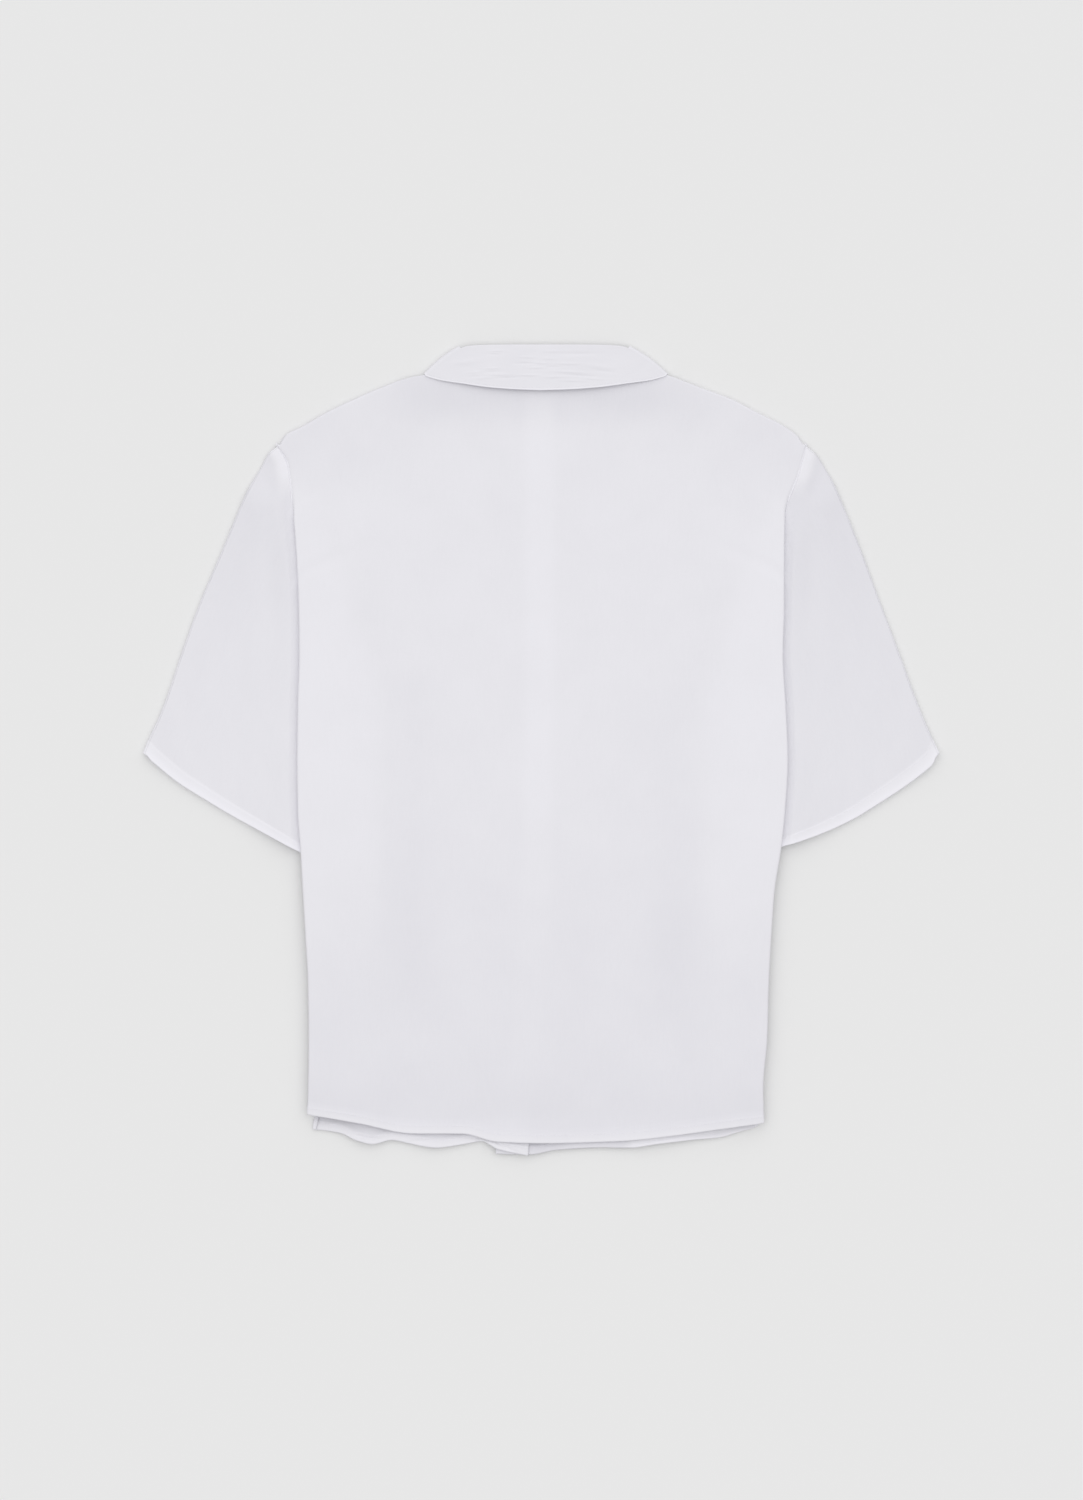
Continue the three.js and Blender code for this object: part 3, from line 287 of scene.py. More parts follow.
# Ripples of the hems, which run up from the hem and fade
LEFT_RIPPLES = table("x wide height long", (-164, 26, 2.2, 95), (-104, 20, 1.0, 70))
RIGHT_RIPPLES = table("x wide height long", (112, 34, 2.4, 100), (182, 14, 1.0, 50))


def read(rows, key, at, column):
    """One column of a table at values of its key column, smoothly and with no overshoot."""
    keys, values = rows[key], rows[column]
    steps = np.diff(keys)
    secants = np.diff(values) / steps
    product, total = secants[:-1] * secants[1:], secants[:-1] + secants[1:]
    inner = np.where(product > 0, 2 * product / np.where(product > 0, total, 1), 0)
    slopes = np.concatenate([secants[:1], inner, secants[-1:]])
    at = np.clip(at, keys[0], keys[-1])
    i = np.clip(np.searchsorted(keys, at, side="right") - 1, 0, len(steps) - 1)
    t = (at - keys[i]) / steps[i]
    t2, t3 = t * t, t * t * t
    return (
        (2 * t3 - 3 * t2 + 1) * values[i] + (t3 - 2 * t2 + t) * steps[i] * slopes[i]
        + (3 * t2 - 2 * t3) * values[i + 1] + (t3 - t2) * steps[i] * slopes[i + 1]
    )


def rise(value, start, end):
    """0 before start, 1 after end, and a smooth step between."""
    t = np.clip((value - start) / (end - start), 0, 1)
    return t * t * (3 - 2 * t)


def mix(a, b, t):
    return a + (b - a) * t


def unit(vectors):
    return vectors / np.maximum(np.linalg.norm(vectors, axis=-1, keepdims=True), 1e-9)


def swells(rows, x, y):
    """Long soft humps and troughs seen from above, with tilt in degrees from the Y axis."""
    total = 0
    for cx, cy, long, wide, tilt, height in zip(*rows.values()):
        angle = math.radians(tilt)
        along = ((y - cy) * math.cos(angle) - (x - cx) * math.sin(angle)) / long
        across = ((x - cx) * math.cos(angle) + (y - cy) * math.sin(angle)) / wide
        total = total + height * np.exp(-along ** 2 - across ** 2)
    return total


def distance_to(outline, x, y):
    """Distance from points to an outline, negative inside it."""
    nearest = np.full(np.shape(x), np.inf)
    inside = np.zeros(np.shape(x), bool)
    for (ax, ay), (bx, by) in zip(np.roll(outline, 1, axis=0), outline):
        ex, ey = bx - ax, by - ay
        t = np.clip(((x - ax) * ex + (y - ay) * ey) / (ex * ex + ey * ey), 0, 1)
        nearest = np.minimum(nearest, np.hypot(x - ax - t * ex, y - ay - t * ey))
        if ey:
            inside ^= ((ay > y) != (by > y)) & (x < ax + (y - ay) / ey * ex)
    return np.where(inside, -nearest, nearest)


def collar_scale(side):
    return LEFT_COLLAR_SCALE if side < 0 else 1


def collar_lift(side, x, y):
    """How far the front lies off the surface because a leaf of the collar is under it."""
    leaf = COLLAR["wrap"] == 180
    width = side * collar_scale(side)
    outer = np.stack([width * COLLAR["edge_x"][leaf], COLLAR["edge_y"][leaf]], -1)
    inner = np.stack([width * COLLAR["seam_x"][leaf], COLLAR["seam_y"][leaf]], -1)
    away = distance_to(np.concatenate([outer, inner[::-1]]), x, y)
    return COLLAR_LIFT * (1 - rise(away, *COLLAR_LIFT_FADE))


def closing_edge(y):
    return read(FRONT_EDGE, "y", y, "x")


def closing_lift(y):
    return read(FRONT_EDGE, "y", y, "lift")


def ripples(rows, x, y):
    total = 0
    for cx, wide, height, long in zip(*rows.values()):
        fade = 1 - rise((y - LOWEST_HEM) / long, 0, 1)
        total = total + height * np.exp(-((x - cx) / wide) ** 2) * fade
    return total


def hem_lift(y):
    """How far the hems stand off the surface, as the crinkled cloth springs up there."""
    return HEM_LIFT * (1 - rise(y, *HEM_LIFT_FADE))


def front_level(side, x, y):
    """Underside of a front."""
    if side > 0:
        ramp = 1 - rise(x, closing_edge(y) + 1, closing_edge(y) + 1 + PLACKET_RAMP)
        lying = closing_lift(y) * ramp
        rippled = ripples(RIGHT_RIPPLES, x, y)
    else:
        start = closing_edge(y) - OVERLAP - 3
        on_hem = HEM_EXTRA * (1 - rise(y, *ON_CLOSING_HEM))
        on_right = closing_lift(y) + SOLID_WALL + PLACKET_GAP + on_hem
        lying = on_right * rise(x, start - PLACKET_RAMP, start)
        rippled = ripples(LEFT_RIPPLES, x, y)
    creased = swells(HEM_CREASES, x, y) * (1 - rise(y, *HEM_CREASE_FADE))
    return np.maximum(np.maximum(lying, collar_lift(side, x, y)), rippled) + hem_lift(y) + creased


def folded_edge(turn, arc, depth=0.0, tip=0.0, tip_radius=1.0, short=False):
    """Section across a folded edge: steps outward and down, how far it reaches and its drop. The
    cloth rolls over, runs flat, bends back at the tip and ends in a lip; a short one only rolls."""
    turn, arc, depth, tip = np.broadcast_arrays(turn, arc, depth, tip)
    out, drop, reach = np.zeros(turn.shape), np.zeros(turn.shape), np.zeros(turn.shape)
    steps = []
    stages = (
        ("roll", 8, 0 * turn, turn), ("flat", 4, turn, turn),
        ("tip", 4, turn, turn - tip), ("lip", 1, turn - tip, turn - tip),
    )
    for stage, count, start, finish in stages:
        if short and stage in ("flat", "tip"):
            continue
        length = {
            "roll": arc,
            "flat": np.maximum(GAP, depth - (reach - out)),
            "tip": np.maximum(GAP, tip_radius * np.radians(tip)),
            "lip": LIP,
        }[stage]
        for k in range(count):
            angle = np.radians(start + (finish - start) * (k + 0.5) / count)
            out = out + length / count * np.cos(angle)
            drop = drop + length / count * np.sin(angle)
            reach = np.maximum(reach, out)
            steps.append(np.stack([out, drop], -1))
    reach = reach + SOLID_WALL / 2 * np.sin(np.radians(np.minimum(turn, 90)))
    return np.stack(steps, -2), reach, drop


def tuck(y, column):
    return read(TUCK, "y", y, column)


def fold_at_side(y, arc, depth, tip_radius):
    return folded_edge(tuck(y, "turn"), tuck(y, arc), depth, tuck(y, "tip"), tip_radius)


def front_side_fold(y):
    depth = np.maximum(0, tuck(y, "depth") - tuck(y, "inset"))
    return fold_at_side(y, "arc_front", depth, TIP_RADIUS_FRONT)


def side_outline(side, y):
    return read(SIDES, "y", y, "left" if side < 0 else "right")


def side_edge(side, y, reach, inset):
    return np.stack([side_outline(side, y) - side * (reach + inset), y], -1)


def shoulder(side, x, column):
    name = "left" if side < 0 else "right"
    return read(SHOULDER, f"{name}_x", x, f"{name}_y" if column == "y" else column)


def shoulder_fold(side, x, column):
    return folded_edge(90, shoulder(side, x, column), short=True)


def shoulder_point(side, x, column):
    reach = shoulder_fold(side, x, column)[1]
    ahead = shoulder(side, x + 1, "y") - shoulder(side, x - 1, "y")
    length = np.hypot(ahead, 2)
    y = shoulder(side, x, "y")
    return np.stack([side * (x + ahead / length * reach), y - 2 / length * reach], -1)


# At the neck the cloth ends flat
FLAT_TOP, FLAT_TOP_REACH, _ = folded_edge(0, 1, short=True)


def neck_point(side, neckline, at, away):
    """Point on a neckline, moved off it towards the neck's opening."""
    x = np.minimum(at, NECK_X)
    before, after = x - 0.5, np.minimum(x + 0.5, NECK_X)
    slope = (read(neckline, "x", after, "y") - read(neckline, "x", before, "y")) / (after - before)
    length = np.hypot(slope, 1)
    x_moved = x - slope / length * away
    y_moved = read(neckline, "x", x, "y") + away / length
    return np.stack([side * collar_scale(side) * x_moved, y_moved], -1)


def panel_top(side, x, neckline, arc):
    """Top edge of one half of a body panel, where it is at the shoulder, and the folds over it."""
    on_shoulder = side * x > (NECK_X + 1) * collar_scale(side)
    at_shoulder = shoulder_point(side, np.abs(x), arc)
    at_neck = neck_point(side, neckline, side * x / collar_scale(side), -FLAT_TOP_REACH)
    folds = shoulder_fold(side, np.abs(x), arc)[0]
    return (
        on_shoulder,
        np.where(on_shoulder[:, None], at_shoulder, at_neck),
        np.where(on_shoulder[:, None, None], folds, FLAT_TOP[None]),
    )


def patch(bottom, top, left, right, u, v):
    """Four-sided patch between its edges, as rows of points."""
    u, v = u[None, :, None], v[:, None, None]
    bottom, top, left, right = bottom[None], top[None], left[:, None], right[:, None]
    return (
        bottom * (1 - v) + top * v + left * (1 - u) + right * u
        - bottom[:, :1] * (1 - u) * (1 - v) - bottom[:, -1:] * u * (1 - v)
        - top[:, :1] * (1 - u) * v - top[:, -1:] * u * v
    )


def even(*spans):
    """Evenly spaced values with the ends of every span, given as start, end and largest step."""
    runs = [np.linspace(a, b, max(2, math.ceil((b - a) / step) + 1)) for a, b, step in spans]
    return np.unique(np.concatenate(runs))


# Rows of a body panel, closer in the turned hem, in the ends of the tuck and under the shoulder
BODY_ROWS = even(
    (BODY_BOTTOM, BODY_BOTTOM + BODY_HEM - HEM_BLEND, 1.2),
    (BODY_BOTTOM + BODY_HEM + HEM_BLEND, -184, 4.4),
    (-184, -110, 3.2), (-110, 128, 4.6), (128, 232, 2.6), (232, 262, 3.0), (262, BODY_TOP, 2.0),
)
BODY_V = (BODY_ROWS - BODY_BOTTOM) / (BODY_TOP - BODY_BOTTOM)
HEM_STITCH_ROW = int(np.argmin(np.abs(BODY_ROWS - BODY_BOTTOM - BODY_HEM + HEM_STITCH_IN)))


def hem_band(rows_up, deep):
    """1 in a turned hem and 0 above it."""
    return 1 - rise(rows_up, deep - HEM_BLEND, deep + HEM_BLEND)


def hem_pales(rows_up, deep):
    """Tone of a turned hem, palest at its edge."""
    return HEM_TONE * (1 - 0.5 * rise(rows_up, 1, deep * 0.8) - 0.5 * rise(rows_up, deep - 1, deep + 1))


def side_rows(corner):
    """y of the rows at a side edge, which starts at the corner of its panel's hem."""
    return mix(corner, BODY_TOP, BODY_V)


def body_grid(u, bottom, top, left, right, level, left_fold, right_fold, top_fold, lift):
    """Middle surface of a body panel: its flat patch, then the folds at its sides and top. lift is
    1 where folds go down and -1 where they go up."""
    plan = patch(bottom, top, left, right, u, BODY_V)
    in_hem = hem_band(BODY_ROWS - BODY_BOTTOM, BODY_HEM)[:, None]
    height = level(plan[..., 0], plan[..., 1]) + in_hem * HEM_EXTRA / 2
    flat = np.concatenate([plan, height[..., None]], -1)
    parts = [flat]
    for fold, at, outward in ((left_fold, 0, -1), (right_fold, -1, 1)):
        if fold is None:
            continue
        moved = np.repeat(flat[:, [at]], fold.shape[1], axis=1)
        moved[..., 0] += outward * fold[..., 0]
        moved[..., 2] -= lift * fold[..., 1]
        parts = [moved[:, ::-1], *parts] if at == 0 else [*parts, moved]
    grid = np.concatenate(parts, axis=1)
    before = 0 if left_fold is None else left_fold.shape[1]
    column = np.clip(np.arange(grid.shape[1]) - before, 0, len(u) - 1)
    ahead = unit(np.gradient(top, axis=0))[column]
    out, drop = top_fold[column, :, 0].T, top_fold[column, :, 1].T
    x, y, z = grid[-1].T
    folded = np.stack([x - ahead[:, 1] * out, y + ahead[:, 0] * out, z - lift * drop], -1)
    grid = np.concatenate([grid, folded], axis=0)
    hem = np.zeros(grid.shape[:2])
    hem[:len(BODY_ROWS)] = in_hem
    return grid, hem


def cloth_piece(name, grid, hem, tone, joined=False, thickness=CLOTH):
    """A thin sheet of cloth round a grid of points in its middle, thicker in its hem, with rounded
    edges and its place in the flat cut for the weave. A joined piece is a tube. Gives the piece with
    its outer surface and its normals, for what is sewn on it."""
    rows, count = grid.shape[:2]
    i, j = np.arange(rows), np.arange(count)
    up, down = np.minimum(i + 1, rows - 1), np.maximum(i - 1, 0)
    if joined:
        ahead, behind = (j + 1) % count, (j - 1) % count
    else:
        ahead, behind = np.minimum(j + 1, count - 1), np.maximum(j - 1, 0)
    normal = unit(np.cross(grid[:, ahead] - grid[:, behind], grid[up] - grid[down]))
    half = (thickness + HEM_EXTRA * hem)[..., None] / 2

    # Edge points stay and the two faces draw back from them, so that the edge is round
    middle = grid.copy()
    ways = [(grid, middle, half)]
    if not joined:
        ways.append([values.swapaxes(0, 1) for values in ways[0]])
    for lines, moved, thick in ways:
        for edge, inside in ((0, 1), (-1, -2)):
            moved[edge] += unit(lines[inside] - lines[edge]) * np.minimum(thick[edge], EDGE_ROUND)
    outer, inner = middle + normal * half, middle - normal * half

    number = np.arange(rows * count).reshape(rows, count)
    spans = j if joined else j[:-1]
    a, b = number[:-1][:, spans], number[:-1][:, ahead[spans]]
    c, d = number[1:][:, ahead[spans]], number[1:][:, spans]
    quads = [np.stack([a, b, c, d], -1).reshape(-1, 4)]
    quads.append(quads[0][:, ::-1] + rows * count)
    points = [outer.reshape(-1, 3), inner.reshape(-1, 3)]
    source = [number.ravel(), number.ravel()]
    total = 2 * rows * count
    borders = [(number[0], grid[0], 1), (number[-1], grid[-1], -1)]
    if not joined:
        borders += [(number[:, 0], grid[:, 0], -1), (number[:, -1], grid[:, -1], 1)]
    for border, place, way in borders:
        rim = total + np.arange(len(border))
        if joined:
            near, far, rim_near, rim_far = border, np.roll(border, -1), rim, np.roll(rim, -1)
        else:
            near, far, rim_near, rim_far = border[:-1], border[1:], rim[:-1], rim[1:]
        upper = np.stack([near, rim_near, rim_far, far], -1)
        lower = np.stack([rim_near, near + rows * count, far + rows * count, rim_far], -1)
        quads += [strip[:, ::way] for strip in (upper, lower)]
        points.append(place)
        source.append(border)
        total += len(border)
    points, source = np.concatenate(points), np.concatenate(source)

    # Place in the flat cut, from lengths measured along and across the grid
    steps_across = np.linalg.norm(np.diff(grid, axis=1), axis=2)
    steps_along = np.linalg.norm(np.diff(grid, axis=0), axis=2)
    cut_x = np.concatenate([np.zeros((rows, 1)), np.cumsum(steps_across, axis=1)], axis=1)
    cut_x -= cut_x[:, count // 2:count // 2 + 1]
    cut_y = np.concatenate([np.zeros((1, count)), np.cumsum(steps_along, axis=0)], axis=0)
    cut = np.stack([cut_x, cut_y, np.zeros((rows, count))], -1).reshape(-1, 3)[source] / 1000
    piece = finished(name, points, np.concatenate(quads), cut, tone.reshape(-1)[source])
    return piece, outer, normal


def finished(name, points, faces, cut, tone):
    """Makes the object, its faces outward, with the attributes that the gauze's material reads."""
    piece = new_object(name, points, faces.tolist())
    mesh = piece.data
    a, b, c, d = (points[faces[:, k]] for k in range(4))
    if np.sum(a * np.cross(b, c)) + np.sum(a * np.cross(c, d)) < 0:
        mesh.flip_normals()
    mesh.attributes.new("cut", "FLOAT_VECTOR", "POINT").data.foreach_set("vector", cut.ravel())
    mesh.attributes.new("tone", "FLOAT", "POINT").data.foreach_set("value", tone.ravel())
    mesh.set_sharp_from_angle(angle=math.radians(75))
    return piece


# Crinkled cotton gauze: plain weave with overtwisted threads, which draw it up into fine uneven
# crinkles along the grain. Matt, with a faint down, near white with a lavender tint
GAUZE_SHADE = "e6e5ea"
PALE_SHADE = "f0eff5"  # at tone 1, where more layers lie together and where highlights are painted
DEEP_SHADE = "d7d6dd"  # at tone -1, where shade and shadow are painted


def spread(tree, value, reach):
    """Noise as a tone, up to reach above and below 0."""
    settings = {"From Min": 0.3, "From Max": 0.7, "To Min": -reach, "To Max": reach}
    return add_node(tree, "ShaderNodeMapRange", settings, {"Value": value}).outputs[0]


def added(tree, one, other):
    return add_node(tree, "ShaderNodeMath", {"operation": "ADD"}, {0: one, 1: other}).outputs[0]


gauze, tree = new_material("crinkled_cotton_gauze")
in_cut = add_node(tree, "ShaderNodeAttribute", {"attribute_name": "cut"}).outputs["Vector"]
toned = add_node(tree, "ShaderNodeAttribute", {"attribute_name": "tone"}).outputs["Fac"]
# Crinkles are about 2.5 mm across and run on for 20 to 40 mm, broader ones are about 9 mm across
crinkles = noise(tree, in_cut, (380, 60, 1), 2.5, 0.6)
broad_crinkles = noise(tree, in_cut, (90, 26, 1), 1.5, 0.4)
# Threads lie 0.4 mm apart, drawn here about 1 mm apart because finer ones don't show
weave = noise(tree, in_cut, 1100, 1)
relief = bump(tree, broad_crinkles, 1.0, 0.00034)
relief = bump(tree, crinkles, 1.0, 0.00008, relief)
relief = bump(tree, weave, 0.5, 0.00005, relief)
# Thin gauze looks paler where hems, seams and layers lie under it, and the pieces' tones also paint
# highlights, shade and shadow onto it. Its threads vary a little, and its weave is denser in some
# places than in others, about 50 mm apart
unevenness = added(tree, spread(tree, noise(tree, in_cut, 20, 2), 0.07), spread(tree, crinkles, 0.03))
shade_at = add_node(
    tree, "ShaderNodeMapRange",
    {"From Min": -1.0, "From Max": 1.0}, {"Value": added(tree, toned, unevenness)},
).outputs[0]
shades = add_node(tree, "ShaderNodeValToRGB", None, {"Fac": shade_at})
shades.color_ramp.elements[0].color = linear(DEEP_SHADE)
shades.color_ramp.elements[1].color = linear(PALE_SHADE)
shades.color_ramp.elements.new(0.5).color = linear(GAUZE_SHADE)
close_with_shader(
    tree,
    {"Roughness": 0.9, "Specular IOR Level": 0.25, "Sheen Weight": 0.08, "Sheen Roughness": 0.5},
    {"Base Color": shades.outputs[0], "Normal": relief},
)


def dress(piece, material):
    piece.data.materials.append(material)
    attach(piece, "root")


# Spun polyester sewing thread: two fine plies with a slight gloss, so it shows paler than the gauze
STITCH = 2.6
STITCH_GAP = 0.7
THREAD = 0.42  # drawn a little thicker than a real one
THREAD_SHADE = "ebeaf0"
thread, tree = new_material("spun_sewing_thread")
position = add_node(tree, "ShaderNodeTexCoord").outputs["Object"]
close_with_shader(
    tree,
    {"Base Color": linear(THREAD_SHADE), "Roughness": 0.6, "Specular IOR Level": 0.4},
    {"Normal": bump(tree, noise(tree, position, 2500, 2), 0.6, 0.00006)},
)


def bead(start, end, up, width, sides=5):
    """Points and faces of one stitch, round and drawn to a point at both ends."""
    way = end - start
    across = np.cross(way / np.linalg.norm(way), up)
    across /= max(np.linalg.norm(across), 1e-9)
    points = [start]
    for t, swell in ((0.12, 0.8), (0.5, 1.0), (0.88, 0.8)):
        for k in range(sides):
            turn = 2 * math.pi * k / sides
            spoke = across * math.cos(turn) + up * math.sin(turn)
            points.append(start + way * t + spoke * swell * width / 2)
    points.append(end)
    last = len(points) - 1
    faces = []
    for k in range(sides):
        after = (k + 1) % sides
        faces.append((0, 1 + k, 1 + after))
        for ring in (0, 1):
            a, b = 1 + ring * sides + k, 1 + ring * sides + after
            faces.append((a, a + sides, b + sides, b))
        faces.append((1 + 2 * sides + k, last, 1 + 2 * sides + after))
    return points, faces


def points_at(line, far, at):
    """Points of a line at distances along it."""
    return np.stack([np.interp(at, far, line[:, k]) for k in range(3)], -1)


def sew(name, lines, stitches=()):
    """Rows of stitches along lines on the cloth, each with the cloth's normals, and single ones."""
    singles = list(stitches)
    for line, up in lines:
        far = np.concatenate([[0], np.cumsum(np.linalg.norm(np.diff(line, axis=0), axis=1))])
        starts = np.arange(STITCH_GAP, far[-1] - STITCH, STITCH + STITCH_GAP)
        ends = starts + STITCH
        row = zip(points_at(line, far, starts), points_at(line, far, ends), points_at(up, far, starts))
        singles += [(*stitch, THREAD) for stitch in row]
    points, faces = [], []
    for start, end, up, width in singles:
        some, theirs = bead(start, end, up, width)
        faces += [tuple(k + len(points) for k in face) for face in theirs]
        points += some
    dress(new_object(name, points, faces), thread)


for side, node, hem_line, flat, under in (
    (-1, "front_left", LEFT_HEM, (0.29, 0.72), "front_right_gauze"),
    (1, "front_right", RIGHT_HEM, (0.30, 0.72), "floor"),
):
    side_y = side_rows(hem_line["y"][0 if side < 0 else -1])
    side_fold, side_reach, _ = front_side_fold(side_y)
    side_line = side_edge(side, side_y, side_reach, tuck(side_y, "inset"))
    placket = 0 if side < 0 else OVERLAP
    hem_start = float(read(hem_line, "x", closing_edge(LOWEST_HEM) - placket, "y"))
    neck_end = float(read(FRONT_NECK, "x", 0.0, "y") - FLAT_TOP_REACH)
    closing_y = mix(hem_start, neck_end, BODY_V)
    closing = np.stack([closing_edge(closing_y) - placket, closing_y], -1)
    # s runs from the closing to the side
    s = even((0, 0.22, 0.008), (0.22, 1, 0.0145))
    x = mix(closing[-1, 0], side_line[-1, 0], s)
    _, top, top_fold = panel_top(side, x, FRONT_NECK, "arc_front")
    top[0], top[-1] = closing[-1], side_line[-1]
    hem_x = mix(closing[0, 0], side_line[0, 0], s)
    bottom = np.stack([hem_x, read(hem_line, "x", hem_x, "y")], -1)
    bottom[0], bottom[-1] = closing[0], side_line[0]
    if side < 0:
        s, top, bottom, top_fold = 1 - s[::-1], top[::-1], bottom[::-1], top_fold[::-1]
    grid, hem = body_grid(
        s, bottom, top,
        side_line if side < 0 else closing,
        closing if side < 0 else side_line,
        lambda px, py, side=side: front_level(side, px, py) + SOLID_WALL / 2,
        side_fold if side < 0 else None,
        None if side < 0 else side_fold,
        top_fold, -1,
    )
    # Painted shadow of the back on the fronts' hems, lighter beyond the right front's small fold
    right_tone = mix(RIGHT_FRONT_TONE, RIGHT_CORNER_TONE, rise(grid[..., 0], *RIGHT_FOLD_X))
    tone = np.where(side < 0, LEFT_FRONT_TONE, right_tone)
    tone = tone + hem_pales(grid[..., 1] - grid[:1, :, 1], BODY_HEM)
    piece, outer, normal = cloth_piece(f"{node}_gauze", grid, hem, tone)
    dress(piece, gauze)
    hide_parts(node)
    # Rows of stitches at the top of the hem, on both faces, and beside the closing on the outer one
    under_side = outer - normal * (CLOTH + HEM_EXTRA * hem[..., None])
    row = HEM_STITCH_ROW
    lines = [(outer[row], normal[row]), (under_side[row], -normal[row])]
    for from_edge in (EDGE_STITCH_IN, OVERLAP - EDGE_STITCH_IN):
        at = int(np.argmin(np.abs(np.abs(grid[0, :, 0] - closing[0, 0]) - from_edge)))
        lines.append((under_side[:, at], -normal[:, at]))
    sew(f"{node}_stitches", lines)


# Back
# One width of the same gauze with no yoke. It lies over the fronts and sleeves, and its sides roll
# down to the side seams and are tucked in under the arms.
BACK_BASE = 2.6  # of its underside over the fronts
CLOSING_ROOM = 0.6  # over the closing
ON_FRONT_HEMS = (-362, -335)  # y where it comes down from the fronts' hems
CLOSING_FADE = (4, 48)  # distance beside the closing over which it comes down
OVER_LEAVES = 0.25  # share of the collar's leaves that shows in its relief
STAND_RADIUS = 1.3  # from the middle of the folded collar to the stand
COLLAR_MIDDLE = 3.5  # height of that middle
TIP_RADIUS_BACK = 1.5
# Paler over more layers and at the hem, with painted highlights over the closing's ridge and the side
# rolls, painted shade in the troughs beside them, towards the hem and at the shoulders' ends, and a
# painted shadow under the collar
OVER_CLOSING_LAYERS_AND_HIGHLIGHT_TONE = 0.22
OVER_TUCK_LAYERS_AND_HIGHLIGHT_TONE = 0.20
BESIDE_TUCK_PAINTED_SHADE = -0.15
LOWER_BACK_PAINTED_SHADE = -0.22
ABOVE_HEM_PAINTED_SHADE = -0.20
UNDER_COLLAR_PAINTED_SHADOW = -0.50
SHOULDER_END_PAINTED_SHADE = -0.18
BACK_HEM_TONE = 0.7
BACK_HEM = table(
    "x y",
    (-216, -334.5), (-168, -342.7), (-118, -352.4), (-73, -352.6), (-40, -359.8), (4, -361.2),
    (71, -359.4), (121, -354.3), (155, -349.6), (205, -342.6),
)
BACK_NECK = table("x y", (0, 337.6), (60, 340.2), (95, 345.0), (109, 346.6))
# Broad relief: rolls along the sides, troughs beside the middle, swells over the waist
BACK_RELIEF = table(
    "x y long wide tilt height",
    (-128, 20, 150, 26, 20, -0.9), (128, 20, 150, 26, -14, -0.9), (-175, 60, 170, 26, 2, 1.6),
    (178, 60, 170, 26, -2, 1.6), (-70, 120, 160, 40, 8, 1.1), (74, 110, 160, 40, -8, 1.1),
    (-61, -340, 46, 9, 4, -0.7), (-100, -220, 120, 24, 6, 0.9), (96, -230, 120, 26, -5, 1.0),
)


def back_side_fold(y):
    return fold_at_side(y, "arc_back", tuck(y, "depth"), TIP_RADIUS_BACK)


def side_end_level(y):
    """Level at the end of the back's side fold, on the front's seam or at rest on the sleeve."""
    front_end = SOLID_WALL / 2 + front_side_fold(y)[2] + hem_lift(y)
    return mix(tuck(y, "rest"), front_end + GAP, tuck(y, "sewn"))


def back_side_level(y):
    """Level of the middle of the back's cloth at its side edge."""
    return side_end_level(y) + back_side_fold(y)[2]


def back_relief(x, y):
    middle = closing_edge(y) - OVERLAP / 2
    on_hem = 2 * HEM_EXTRA * (1 - rise(y, *ON_FRONT_HEMS))
    ridge = closing_lift(y) + 2 * SOLID_WALL + PLACKET_GAP + CLOSING_ROOM + on_hem - BACK_BASE
    beside = np.abs(x - middle) - OVERLAP / 2
    over_closing = ridge * (1 - rise(beside, *CLOSING_FADE))
    hems = np.maximum(ripples(LEFT_RIPPLES, x, y), ripples(RIGHT_RIPPLES, x, y))
    collar = OVER_LEAVES * np.maximum(collar_lift(-1, x, y), collar_lift(1, x, y))
    together = np.cbrt(np.maximum(0, over_closing) ** 3 + hems ** 3 + collar ** 3)
    return BACK_BASE + together + swells(BACK_RELIEF, x, y) + hem_lift(y)


left_y, right_y = side_rows(BACK_HEM["y"][0]), side_rows(BACK_HEM["y"][-1])
left_fold, left_reach, _ = back_side_fold(left_y)
right_fold, right_reach, _ = back_side_fold(right_y)
back_left = side_edge(-1, left_y, left_reach, 0)
back_right = side_edge(1, right_y, right_reach, 0)
u = even((0, 1, 0.0078))
top_x = mix(back_left[-1, 0], back_right[-1, 0], u)
top, top_level = np.zeros((len(u), 2)), np.zeros(len(u))
top_fold = np.zeros((len(u), *FLAT_TOP.shape))
for side in (-1, 1):
    mine = top_x * side >= 0
    on_shoulder, top[mine], top_fold[mine] = panel_top(side, top_x[mine], BACK_NECK, "arc_back")
    x = np.abs(top_x[mine])
    place = shoulder_point(side, x, "arc_front")
    drops = sum(shoulder_fold(side, x, arc)[2] for arc in ("arc_front", "arc_back"))
    shoulder_level = front_level(side, place[:, 0], place[:, 1]) + SOLID_WALL / 2 + GAP + drops
    top_level[mine] = np.where(on_shoulder, shoulder_level, COLLAR_MIDDLE + STAND_RADIUS)
top[0], top[-1] = back_left[-1], back_right[-1]
bottom_x = mix(back_left[0, 0], back_right[0, 0], u)
bottom = np.stack([bottom_x, read(BACK_HEM, "x", bottom_x, "y")], -1)
bottom[0], bottom[-1] = back_left[0], back_right[0]


